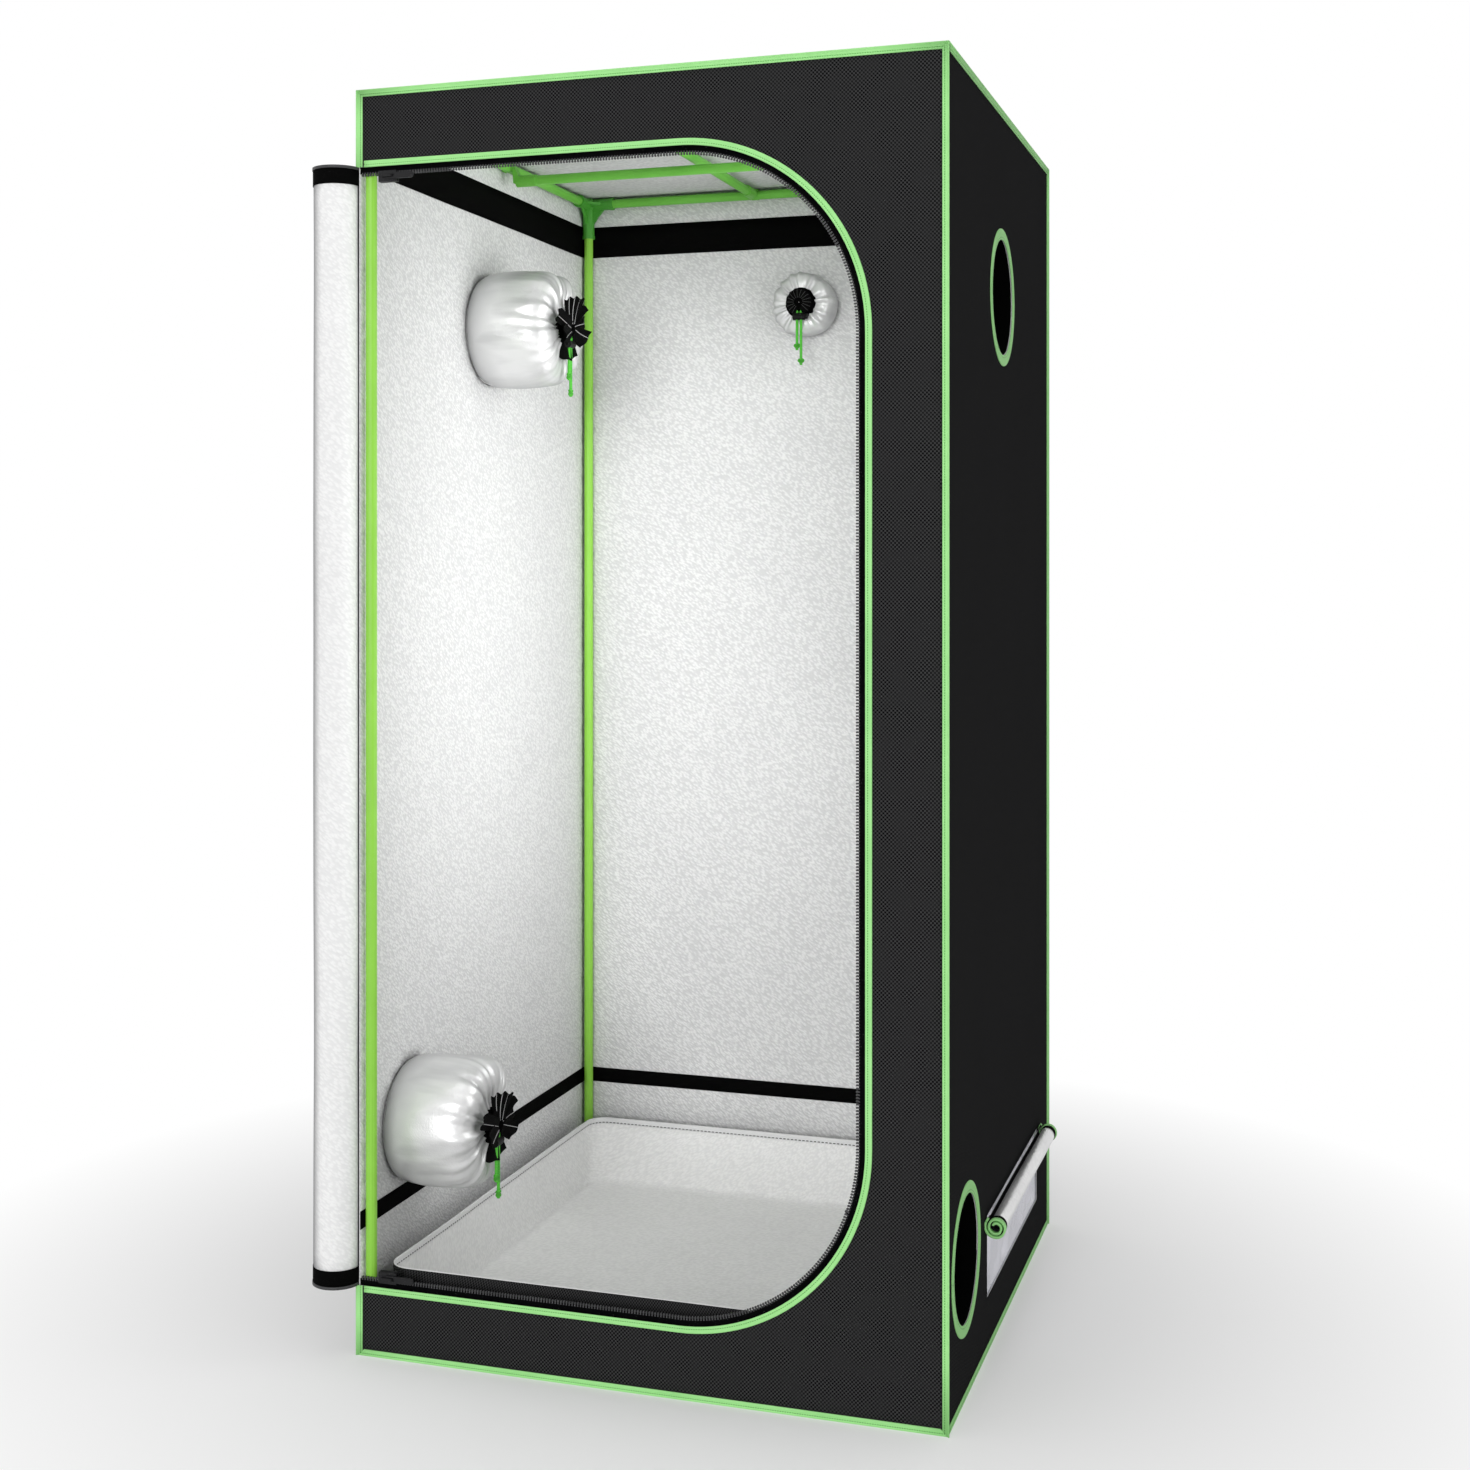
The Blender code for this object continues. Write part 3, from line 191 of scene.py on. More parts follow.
# %% Helper: a round cord through points
def add_cord(name, points, radius, body="tent", closed=False):
    """The skin of a curve with a round bevel, which rides on a body"""
    curve = bpy.data.curves.new(name + "_line", "CURVE")
    curve.dimensions = "3D"
    curve.bevel_depth = radius
    curve.bevel_resolution = 4
    curve.use_fill_caps = True
    spline = curve.splines.new("POLY")
    spline.points.add(len(points) - 1)
    for point, place in zip(spline.points, points):
        point.co = (*place, 1)
    spline.use_cyclic_u = closed
    line = bpy.data.objects.new(name + "_line", curve)
    mesh = bpy.data.meshes.new_from_object(line)
    bpy.data.objects.remove(line)
    cord = bpy.data.objects.new(name, mesh)
    bpy.context.scene.collection.objects.link(cord)
    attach(cord, body)
    return cord


# %% [markdown]
# The knots are trefoils, the simplest knot that a single end can make. The formula below is the usual
# one, scaled to the cord. A thin cord drawn tight has hardly any room between its turns.

# %% Helper: a tight knot
KNOT_SIZE = 0.00135
KNOT_DEPTH = 1.3
KNOT_CORD = 0.0021
KNOT_POINTS = 72


def add_knot(name, place, turn):
    """A trefoil drawn tight round a place, in a port's frame"""
    points = []
    for i in range(KNOT_POINTS):
        t = 2 * math.pi * i / KNOT_POINTS
        across = math.sin(t) + 2 * math.sin(2 * t)
        down = math.cos(t) - 2 * math.cos(2 * t)
        points.append(turn @ (place + KNOT_SIZE * Vector((across, down, -KNOT_DEPTH * math.sin(3 * t)))))
    return add_cord(name, points, KNOT_CORD, closed=True)


# %% Drawstrings and their knots
def make_drawstring(port):
    """One port's cord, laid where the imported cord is, with its two knots"""
    name, turn = port["name"], port["frame"]
    lift = Vector((0, 0, port["neck"]))
    points = [turn @ (point + lift) for point in smooth_line(drawstring_route(port), FINE_CORD_STEP)]
    cord = add_cord("cord_" + name, points, CORD_RADIUS)
    knots = []
    for strand, tail, word in ((-STRAND, SHORT_TAIL, "short"), (STRAND, LONG_TAIL, "long")):
        height = port["lock"] - LOCK_RADIUS - tail + CORD_STEP
        knots.append(add_knot("_".join(("knot", word, name)), Vector((strand, height, 0)) + lift, turn))
    length = sum((b - a).length for a, b in zip(points, points[1:]))
    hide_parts("drawstring_" + name)
    return [cord] + knots, length


drawstrings = []
for port in ports:
    pieces, length = make_drawstring(port)
    drawstrings += pieces
    print("drawstring", port["name"], "is", round(length, 3), "m long")

# %% [markdown]
# ## Finishes
# Each finish is made of nodes, and what several finishes share is a node group with named sockets.
# Cloth patterns read the mesh's UV map, which every sheet below carries in metres. A thread is then
# as wide on the floor tray as it is on a wall.

# %% Helpers that write node trees
def new_node(tree, kind, values=(), **settings):
    """Add a node, set its properties, and set or link its inputs"""
    made = tree.nodes.new(kind)
    for name, value in settings.items():
        setattr(made, name, value)
    for socket, value in dict(values).items():
        if isinstance(value, bpy.types.NodeSocket):
            tree.links.new(value, made.inputs[socket])
        else:
            made.inputs[socket].default_value = value
    return made


def math_node(tree, operation, first, second=0.0):
    """One sum on values or sockets"""
    return new_node(tree, "ShaderNodeMath", {0: first, 1: second}, operation=operation).outputs[0]


def mix_colour(tree, share, first, second):
    """Blend two colours by a share"""
    mixed = new_node(tree, "ShaderNodeMix", {0: share, 6: first, 7: second}, data_type="RGBA")
    return mixed.outputs[2]


def parts_of(tree, vector):
    """The three parts of a vector, one socket each"""
    return new_node(tree, "ShaderNodeSeparateXYZ", {0: vector}).outputs


def map_range(tree, value, low, high, new_low=0.0, new_high=1.0):
    """Carry the range from low to high over to another one, and hold what lies outside"""
    ends = {0: value, 1: low, 2: high, 3: new_low, 4: new_high}
    return new_node(tree, "ShaderNodeMapRange", ends).outputs[0]


def soft_noise(tree, place, scale, detail):
    """Soft clouds or fine grain, by their scale"""
    values = {"Vector": place, "Scale": scale, "Detail": detail}
    return new_node(tree, "ShaderNodeTexNoise", values).outputs[0]


SOCKET_KINDS = {"Vector": "NodeSocketVector", "Colour": "NodeSocketColor", "Other": "NodeSocketColor"}


def new_group(name, inputs, outputs):
    """An empty node group with named sockets, and its two end nodes"""
    group = bpy.data.node_groups.new(name, "ShaderNodeTree")
    for socket, value in inputs.items():
        kind = SOCKET_KINDS.get(socket, "NodeSocketFloat")
        made = group.interface.new_socket(socket, in_out="INPUT", socket_type=kind)
        if value is not None:
            made.default_value = value
    for socket in outputs:
        kind = SOCKET_KINDS.get(socket, "NodeSocketFloat")
        group.interface.new_socket(socket, in_out="OUTPUT", socket_type=kind)
    start = group.nodes.new("NodeGroupInput")
    end = group.nodes.new("NodeGroupOutput")
    return group, start.outputs, end.inputs


def place_group(tree, group, values):
    """Put a shared group into a material with the material's own values"""
    return new_node(tree, "ShaderNodeGroup", values, node_tree=group).outputs


# %% [markdown]
# Woven cloth is a lattice of threads that pass over and under each other. Two sine waves, one for
# each direction of thread, give its height when they are multiplied, at a fraction of an image's cost.
# The same group gives a mask from the gaps (0) to the raised threads (1); the black cloths paint the raised
# threads lighter by it, a painted highlight.

# %% Node group: woven threads
RAISED_EDGE = 0.45
SLUB_HEIGHT = 0.6


def build_weave():
    """Height and mask of two sets of threads that cross, with thick and thin places in them"""
    inputs = {"Vector": None, "Threads": 700.0}
    group, given, result = new_group("woven_threads", inputs, ("Height", "Raised"))
    apart = parts_of(group, given["Vector"])
    turns = math_node(group, "MULTIPLY", given["Threads"], math.pi)
    across = math_node(group, "SINE", math_node(group, "MULTIPLY", apart[0], turns))
    along = math_node(group, "SINE", math_node(group, "MULTIPLY", apart[1], turns))
    height = math_node(group, "MULTIPLY", across, along)
    slub = soft_noise(group, given["Vector"], scale=900.0, detail=2.0)
    uneven = math_node(group, "MULTIPLY", slub, SLUB_HEIGHT)
    group.links.new(math_node(group, "ADD", height, uneven), result["Height"])
    group.links.new(map_range(group, height, -RAISED_EDGE, RAISED_EDGE), result["Raised"])
    return group


weave = build_weave()
print("group", weave.name)

# %% [markdown]
# The lining is a thin metal film pressed into a pattern of little pebbles. Voronoi cells, taken
# smooth, have just such round tops with creases between them, and squeezing their space one way
# makes the rows that the film shows.

# %% Node group: pebbled film
PEBBLE_SLANT = 0.6
PEBBLE_SQUEEZE = 0.45
PEBBLE_SOFTNESS = 0.6


def build_pebbles():
    """Height of the pebbles, a mask of the creases between them, and soft patches of shade"""
    inputs = {"Vector": None, "Pebbles": 160.0}
    group, given, result = new_group("pebbled_film", inputs, ("Height", "Shade", "Crease"))
    squeezed = {"Vector": given["Vector"], "Rotation": (0, 0, PEBBLE_SLANT), "Scale": (1, PEBBLE_SQUEEZE, 1)}
    turned = new_node(group, "ShaderNodeMapping", squeezed, vector_type="TEXTURE").outputs[0]
    cells = {"Vector": turned, "Scale": given["Pebbles"], "Smoothness": PEBBLE_SOFTNESS}
    far = new_node(group, "ShaderNodeTexVoronoi", cells, feature="SMOOTH_F1").outputs["Distance"]
    group.links.new(math_node(group, "SUBTRACT", 1.0, far), result["Height"])
    clouds = soft_noise(group, given["Vector"], scale=7.0, detail=3.0)
    group.links.new(map_range(group, clouds, 0.35, 0.7), result["Shade"])
    group.links.new(map_range(group, far, 0.3, 0.62), result["Crease"])
    return group


pebbles = build_pebbles()
print("group", pebbles.name)

# %% [markdown]
# A row of stitches is a dash that repeats along the tape, a thread's width from the row's line. The
# group gives a mask of the thread, and the same mask as a height presses the row into the tape.

# %% Node group: row of stitches
STITCH_SHARE = 0.62


def build_stitches():
    """Mask of a row of dashes, of which each fills its share of the pitch"""
    inputs = {"Vector": None, "Row": 0.0045, "Pitch": 0.0034, "Thread": 0.0005}
    group, given, result = new_group("row_of_stitches", inputs, ("Mask",))
    apart = parts_of(group, given["Vector"])
    off = math_node(group, "ABSOLUTE", math_node(group, "SUBTRACT", apart[0], given["Row"]))
    near = math_node(group, "LESS_THAN", off, given["Thread"])
    step = math_node(group, "FRACT", math_node(group, "DIVIDE", apart[1], given["Pitch"]))
    dash = math_node(group, "LESS_THAN", step, STITCH_SHARE)
    group.links.new(math_node(group, "MULTIPLY", near, dash), result["Mask"])
    return group


stitches = build_stitches()
print("group", stitches.name)

# %% [markdown]
# Nothing that is handled stays one even tone. This group gives soft clouds that shift a colour a
# little, and specks of lint or dust that lighten it, both in the object's own space.

# %% Node group: uneven tone and specks
def grey(value):
    """A colour without a hue"""
    return (value, value, value, 1)


LINT = grey(0.6)


def build_tone():
    """One colour that drifts into another in soft clouds, with a share of specks on it"""
    inputs = {"Colour": grey(0.5), "Other": grey(0.4), "Clouds": 6.0, "Specks": 0.1}
    group, given, result = new_group("uneven_tone", inputs, ("Colour",))
    place = new_node(group, "ShaderNodeTexCoord").outputs["Object"]
    clouds = map_range(group, soft_noise(group, place, given["Clouds"], detail=4.0), 0.3, 0.72)
    tone = mix_colour(group, clouds, given["Colour"], given["Other"])
    specks = map_range(group, soft_noise(group, place, scale=420.0, detail=1.0), 0.7, 0.78)
    share = math_node(group, "MULTIPLY", specks, given["Specks"])
    group.links.new(mix_colour(group, share, tone, LINT), result["Colour"])
    return group


tone_group = build_tone()
print("group", tone_group.name)

# %% [markdown]
# Moulded plastic and sprayed paint both have a fine skin: the paint's is soft and wavy, and the
# plastic's is sharp and grainy. One noise group serves both, at the scale that the finish asks for.

# %% Node group: fine skin
def build_skin():
    """Height of fine grains on soft waves, and the waves alone as a mask"""
    group, given, result = new_group("fine_skin", {"Grains": 300.0, "Waves": 40.0}, ("Height", "Mask"))
    place = new_node(group, "ShaderNodeTexCoord").outputs["Object"]
    grain = soft_noise(group, place, given["Grains"], detail=2.0)
    waves = soft_noise(group, place, given["Waves"], detail=3.0)
    group.links.new(math_node(group, "ADD", grain, waves), result["Height"])
    group.links.new(waves, result["Mask"])
    return group


skin = build_skin()
print("group", skin.name)

# %% [markdown]
# ### The materials
# Every material below starts the same way: an empty tree with a Principled shader. The helpers then
# feed its colour, its roughness and its bump from the groups, and plain values go on the shader.

# %% Helpers that start a material and read its mask
def new_material(name, roughness, metallic=0.0, specular=0.5):
    """A material with a Principled shader, and the pair of its tree and shader"""
    made = bpy.data.materials.new(name)
    made.use_nodes = True
    shader = made.node_tree.nodes["Principled BSDF"]
    shader.inputs["Roughness"].default_value = roughness
    shader.inputs["Metallic"].default_value = metallic
    shader.inputs["Specular IOR Level"].default_value = specular
    return made, made.node_tree, shader.inputs


def cloth_place(tree):
    """The cloth's own UV map, in metres"""
    return new_node(tree, "ShaderNodeUVMap", uv_map="cloth").outputs[0]


def add_bump(tree, shader, height, distance):
    """Feed a height into the shader's normal"""
    bump = new_node(tree, "ShaderNodeBump", {"Height": height, "Distance": distance, "Strength": 1.0})
    tree.links.new(bump.outputs[0], shader["Normal"])


def vary_roughness(tree, shader, mask, low, high):
    """Let the roughness follow a mask between two values"""
    tree.links.new(map_range(tree, mask, 0.0, 1.0, low, high), shader["Roughness"])


# %% [markdown]
# The shell is a coarse black cloth with a dull coat. Its ground stays nearly black, and the tops of the
# threads are painted lighter, a painted highlight, more in some patches than in others. The bands inside
# and the sleeves' petals are thinner black cloths, so they take the same material with finer threads.

# %% Black woven shell, black bands and black petals
def make_shell(name, dark, light, thread, threads, shine):
    """Black cloth: a dark ground, and raised threads painted in a lighter tone as a painted highlight"""
    made, tree, shader = new_material(name, 0.75, specular=shine)
    place = cloth_place(tree)
    woven = place_group(tree, weave, {"Vector": place, "Threads": threads})
    toned = place_group(tree, tone_group, {"Colour": dark, "Other": light, "Clouds": 5.0, "Specks": 0.02})
    # Painted highlight: the raised threads take the lighter thread colour, more in the clear patches
    clear = map_range(tree, soft_noise(tree, place, scale=34.0, detail=2.0), 0.3, 0.6, new_low=0.35)
    signed = math_node(tree, "SUBTRACT", woven["Raised"], 0.5)
    share = math_node(tree, "ADD", math_node(tree, "MULTIPLY", signed, clear), 0.5)
    tree.links.new(mix_colour(tree, share, toned["Colour"], thread), shader["Base Color"])
    vary_roughness(tree, shader, woven["Raised"], 0.85, 0.6)
    add_bump(tree, shader, woven["Height"], 0.0003)
    return made


# The third colour of each black cloth below is the painted highlight on its raised threads
shell_finish = make_shell(
    "woven_shell",
    (0.0010, 0.0010, 0.0015, 1),
    (0.003, 0.003, 0.0035, 1),
    (0.054, 0.054, 0.055, 1),
    threads=380.0,
    shine=0.0,
)
band_finish = make_shell("black_band", grey(0.001), grey(0.0018), grey(0.005), threads=900.0, shine=0.01)
petal_finish = make_shell("black_petal", grey(0.0008), grey(0.0015), grey(0.002), threads=900.0, shine=0.07)
print("finishes", shell_finish.name, band_finish.name, petal_finish.name)

# %% [markdown]
# What faces into the tent is covered with a pale metal film, which throws the light of lamps back.
# On the walls the film is deeply pebbled and matt, with painted shade in the creases between pebbles.
# The tray's is smoother, and so is the vent flap's, which shines more. The sleeves' film is thin and
# wrinkled, and painted shade gives it grey streaks along its folds and a greyer end at its seam. Where
# the round rolls and sleeves turn away from the eye, their colour carries a painted reflection of the
# darker room: a Layer Weight node tells how much a place turns away, and mixes in a darker grey there.

# %% Films of the lining, the tray, the sleeves and the rolls
WHITE, PALE, SILVER = grey(0.84), (0.79, 0.79, 0.795, 1), (0.68, 0.68, 0.69, 1)
# Painted light: the first grey below is painted shade in the creases between pebbles; the second is painted
# shade along the sleeves' folds and at their seam, and a painted reflection where a roll or sleeve turns
# away.
CREASE_SHADE_GREY = (0.50, 0.50, 0.51, 1)
PAINTED_SHADE_GREY = (0.30, 0.30, 0.31, 1)
FOLD_SHADE_SCALE = (26, 5, 1)
SEAM_SHADE_END = 0.055


def add_painted_fold_shade(tree, film):
    """Painted shade: grey streaks along a sleeve's folds, and a greyer end at its seam by the wall"""
    place = cloth_place(tree)
    narrow = new_node(tree, "ShaderNodeMapping", {"Vector": place, "Scale": FOLD_SHADE_SCALE}).outputs[0]
    fold_shade = map_range(tree, soft_noise(tree, narrow, scale=1.0, detail=3.0), 0.45, 0.68, new_high=0.4)
    seam = map_range(tree, parts_of(tree, place)[1], 0.0, SEAM_SHADE_END, new_low=0.55, new_high=0.0)
    return mix_colour(tree, math_node(tree, "MAXIMUM", fold_shade, seam), film, PAINTED_SHADE_GREY)


def add_painted_slant_reflection(tree, film, share):
    """Painted reflection: a film that greys where it turns away from the eye, as if it mirrored the darker
    room
    """
    facing = new_node(tree, "ShaderNodeLayerWeight", {"Blend": 0.5}).outputs["Facing"]
    return mix_colour(tree, map_range(tree, facing, 0.3, 0.95, new_high=share), film, PAINTED_SHADE_GREY)


def make_film(
    name, pale, dull, depth, pebble_count=150.0, metallic=0.0, roughness=0.5, crease_shade=0.2, shine=0.5,
    with_fold_shade=False, slant=0.0,
):
    """Film pressed into pebbles, in patches of two tones, with painted shade in its creases, and painted
    shade along folds or a painted reflection at a slant if wanted
    """
    made, tree, shader = new_material(name, roughness, metallic, shine)
    pressed = place_group(tree, pebbles, {"Vector": cloth_place(tree), "Pebbles": pebble_count})
    share = math_node(tree, "MULTIPLY", pressed["Shade"], 0.6)
    # Painted shade: the creases between the pebbles are mixed towards a grey
    crease = math_node(tree, "MULTIPLY", pressed["Crease"], crease_shade)
    film = mix_colour(tree, crease, mix_colour(tree, share, pale, dull), CREASE_SHADE_GREY)
    # Painted shade along the folds and at the seam, and a painted reflection at a slant, where asked for
    if with_fold_shade:
        film = add_painted_fold_shade(tree, film)
    if slant:
        film = add_painted_slant_reflection(tree, film, slant)
    tree.links.new(film, shader["Base Color"])
    vary_roughness(tree, shader, pressed["Shade"], roughness - 0.06, roughness + 0.1)
    add_bump(tree, shader, pressed["Height"], depth)
    return made


lining_finish = make_film("silver_lining", WHITE, PALE, depth=0.0012, crease_shade=0.46, shine=0.3)
tray_finish = make_film("tray_film", (0.96, 0.96, 0.95, 1), (0.92, 0.92, 0.91, 1), depth=0.0008, shine=0.3)
# The sleeves' foil gets painted shade along its folds and at its seam, and a painted reflection where it
# turns away
sleeve_finish = make_film(
    "sleeve_foil", WHITE, SILVER, depth=0.0002, pebble_count=320.0, metallic=0.35, roughness=0.33,
    crease_shade=0.0, with_fold_shade=True, slant=0.45,
)
# The door's foil gets a strong painted reflection where it turns away from the eye
roll_finish = make_film("door_foil", grey(0.97), grey(0.92), depth=0.0007, shine=0.1, slant=1.2)
flap_finish = make_film("flap_foil", grey(0.92), WHITE, depth=0.0009, metallic=0.6, roughness=0.4)
films = (lining_finish, tray_finish, sleeve_finish, roll_finish, flap_finish)
print("finishes", *(film.name for film in films))

# %% [markdown]
# The binding is a ribbed green tape, sewn on with one row of a darker green thread. The tray's hem is
# the same kind of tape in white, whose long black stitches show.

# %% Green binding tape with its row of stitches
HEM_ROW = 0.0215
RIBS = 1100.0


def make_tape(name, colour, other, thread_colour, row, thread=0.0005, pitch=0.0034):
    """Ribbed tape with a row of stitches sunk into it"""
    made, tree, shader = new_material(name, 0.6, specular=0.35)
    place = cloth_place(tree)
    ribs = place_group(tree, weave, {"Vector": place, "Threads": RIBS})
    toned = place_group(tree, tone_group, {"Colour": colour, "Other": other, "Clouds": 18.0, "Specks": 0.05})
    sewn = place_group(tree, stitches, {"Vector": place, "Row": row, "Thread": thread, "Pitch": pitch})
    shaded = mix_colour(tree, math_node(tree, "MULTIPLY", ribs["Raised"], 0.18), toned["Colour"], other)
    tree.links.new(mix_colour(tree, sewn["Mask"], shaded, thread_colour), shader["Base Color"])
    sunk = math_node(tree, "SUBTRACT", math_node(tree, "MULTIPLY", ribs["Height"], 0.25), sewn["Mask"])
    add_bump(tree, shader, sunk, 0.0004)
    return made


tape_finish = make_tape(
    "green_binding", (0.42, 0.89, 0.33, 1), (0.36, 0.81, 0.28, 1), (0.12, 0.42, 0.09, 1), TAPE_WIDTH / 2
)
hem_finish = make_tape("pale_hem", WHITE, PALE, grey(0.05), HEM_ROW, thread=0.0008, pitch=0.007)
print("finishes", tape_finish.name, hem_finish.name)

# %% [markdown]
# The zipper's tape and its teeth are plain threads and plastic: one tone with a few specks, over fine
# ribs. The same helper colours the painted highlight lines on the petals' folds.

# %% Zipper tape and teeth
def make_ribbed(name, colour, other, roughness, threads, depth, shine=0.5):
    """Plain thread or plastic over fine ribs"""
    made, tree, shader = new_material(name, roughness, specular=shine)
    ribs = place_group(tree, weave, {"Vector": cloth_place(tree), "Threads": threads})
    toned = place_group(tree, tone_group, {"Colour": colour, "Other": other, "Clouds": 30.0, "Specks": 0.1})
    tree.links.new(toned["Colour"], shader["Base Color"])
    add_bump(tree, shader, ribs["Height"], depth)
    return made


zip_cloth_finish = make_ribbed(
    "black_zipper_cloth", (0.0025, 0.0025, 0.003, 1), (0.005, 0.005, 0.0055, 1),
    roughness=0.9, threads=1300.0, depth=0.0003, shine=0.01,
)
zip_teeth_finish = make_ribbed(
    "dark_zipper_teeth", (0.045, 0.045, 0.047, 1), (0.075, 0.075, 0.078, 1),
    roughness=0.45, threads=400.0, depth=0.00005, shine=0.2,
)
print("finishes", zip_cloth_finish.name, zip_teeth_finish.name)

# %% [markdown]
# The stiff pieces have three kinds of finish: sprayed paint on the tubes, moulded plastic on the
# connectors and cord locks, and darkened metal on the zipper's sliders. They differ in colour, grain
# and shine alone, so one function makes them all.

# %% Paint, plastic and metal of the frame's pieces
COAT_ROUGHNESS = 0.12


def make_hard(name, colour, other, grains, depth, roughness=0.42, metallic=0.0, coat=0.0, shine=0.5):
    """A hard finish with a fine skin, and a clear coat if wanted"""
    made, tree, shader = new_material(name, roughness, metallic, shine)
    shader["Coat Weight"].default_value = coat
    shader["Coat Roughness"].default_value = COAT_ROUGHNESS
    toned = place_group(tree, tone_group, {"Colour": colour, "Other": other, "Clouds": 14.0, "Specks": 0.15})
    tree.links.new(toned["Colour"], shader["Base Color"])
    surface = place_group(tree, skin, {"Grains": grains})
    vary_roughness(tree, shader, surface["Mask"], roughness - 0.08, roughness + 0.1)
    add_bump(tree, shader, surface["Height"], depth)
    return made


paint = {"grains": 260.0, "depth": 0.00006, "coat": 0.06, "shine": 0.2}
post_finish = make_hard("pale_green_paint", (0.31, 0.70, 0.08, 1), (0.28, 0.64, 0.07, 1), **paint)
tube_finish = make_hard("green_paint", (0.19, 0.60, 0.08, 1), (0.165, 0.54, 0.067, 1), **paint)
connector_finish = make_hard(
    "green_plastic", (0.08, 0.40, 0.04, 1), (0.065, 0.35, 0.032, 1), grains=700.0, depth=0.00008
)
metal_finish = make_hard(
    "dark_metal", (0.006, 0.006, 0.007, 1), (0.012, 0.012, 0.013, 1),
    grains=500.0, depth=0.00004, roughness=0.45, metallic=0.2, shine=0.25,
)
lock_finish = make_hard("black_plastic", grey(0.002), grey(0.004), grains=600.0, depth=0.00004, shine=0.15)
hard_finishes = (post_finish, tube_finish, connector_finish, metal_finish, lock_finish)
print("finishes", *(finish.name for finish in hard_finishes))

# %% [markdown]
# A drawstring is braided: strands cross it both ways on a slant. Its curve has a UV of its own, along
# the cord and round it, and two slanted waves over that give the diamonds of the braid, with painted shade
# in the darker green of the grooves between them.

# %% Braided cord
def make_braid(name, colour, other, turns_along, turns_round):
    """Diamonds of a braid, as many along the cord and round it as the turns say, with painted shade between
    them
    """
    made, tree, shader = new_material(name, 0.55, specular=0.4)
    apart = parts_of(tree, new_node(tree, "ShaderNodeUVMap", uv_map="UVMap").outputs[0])
    along = math_node(tree, "MULTIPLY", apart[0], turns_along * 2 * math.pi)
    round_it = math_node(tree, "MULTIPLY", apart[1], turns_round * 2 * math.pi)
    left = math_node(tree, "SINE", math_node(tree, "ADD", along, round_it))
    right = math_node(tree, "SINE", math_node(tree, "SUBTRACT", along, round_it))
    crossing = math_node(tree, "MULTIPLY", left, right)
    # Painted shade: where the strands sink between the diamonds, the colour goes to the darker green
    share = map_range(tree, crossing, -0.6, 0.8)
    tree.links.new(mix_colour(tree, share, other, colour), shader["Base Color"])
    add_bump(tree, shader, crossing, 0.0004)
    return made


# The second green is the painted shade in the braid's grooves
cord_finish = make_braid(
    "green_braid", (0.16, 0.78, 0.07, 1), (0.05, 0.42, 0.03, 1), turns_along=62, turns_round=4
)
for piece in drawstrings:
    piece.data.materials.append(cord_finish)
print("finish", cord_finish.name, "on", len(drawstrings), "pieces")

# %% [markdown]
# The vent's net is far finer than a mesh could show, so its holes are an alpha pattern: two combs
# of threads, in the sheet's two directions, and nothing between them.

# %% Net
def make_net(name, colour, other, threads, share):
    """Two combs of threads, each thread as wide as its share of a step, with holes between them"""
    made, tree, shader = new_material(name, 0.45, metallic=0.45)
    apart = parts_of(tree, cloth_place(tree))
    combs = []
    for direction in (0, 1):
        step = math_node(tree, "FRACT", math_node(tree, "MULTIPLY", apart[direction], threads))
        combs.append(math_node(tree, "LESS_THAN", step, share))
    tree.links.new(math_node(tree, "MAXIMUM", combs[0], combs[1]), shader["Alpha"])
    toned = place_group(tree, tone_group, {"Colour": colour, "Other": other, "Clouds": 16.0})
    tree.links.new(toned["Colour"], shader["Base Color"])
    return made


net_finish = make_net("pale_net", (0.93, 0.93, 0.99, 1), (0.84, 0.84, 0.90, 1), threads=900.0, share=0.68)
print("finish", net_finish.name)

# %% [markdown]
# ## The hard pieces
# The tubes, connectors, bars, sliders and cord locks have the right shape already, so they keep their
# meshes and take the new finishes.

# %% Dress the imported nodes
HARD_FINISHES = {
    "post_paint": post_finish,
    "tube_paint": tube_finish,
    "connector_plastic": connector_finish,
    "zipper_metal": metal_finish,
    "lock_plastic": lock_finish,
}
slot_of = {row["node"]: row["material_slot"] for row in frame["record"]["subparts"]}
dressed = [name for name in frame["nodes"] if slot_of[name] in HARD_FINISHES]
for name in dressed:
    mesh = frame["nodes"][name].data
    mesh.materials.clear()
    mesh.materials.append(HARD_FINISHES[slot_of[name]])
print("dressed", len(dressed), "packed nodes")


# %% [markdown]
# ## Sheets of cloth
# A panel starts as a flat cut: an outline, its holes, and a field of points in between, joined into
# triangles. A constrained triangulation keeps the edges of round holes as fine as they are drawn,
# where a plain grid would leave steps. The cut is then laid on its wall, and given its thickness.

# %% Helper: one mesh from points and faces
def add_piece(name, shape, finishes, body="tent", face_finish=None):
    """Make a mesh piece from points, UVs in metres and faces, dress it, and let it ride on a body"""
    points, uvs, faces = shape
    mesh = bpy.data.meshes.new(name)
    mesh.from_pydata([tuple(p) for p in points], [], faces)
    for finish in finishes:
        mesh.materials.append(finish)
    layer = mesh.uv_layers.new(name="cloth")
    for loop in mesh.loops:
        layer.data[loop.index].uv = uvs[loop.vertex_index]
    if face_finish is not None:
        mesh.polygons.foreach_set("material_index", face_finish)
    mesh.shade_smooth()
    piece = bpy.data.objects.new(name, mesh)
    bpy.context.scene.collection.objects.link(piece)
    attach(piece, body)
    return piece


def grid_faces(rows, columns):
    """The faces of a grid whose points were laid row by row"""
    across = columns + 1
    starts = [row * across + column for row in range(rows) for column in range(columns)]
    return [(a, a + 1, a + across + 1, a + across) for a in starts]


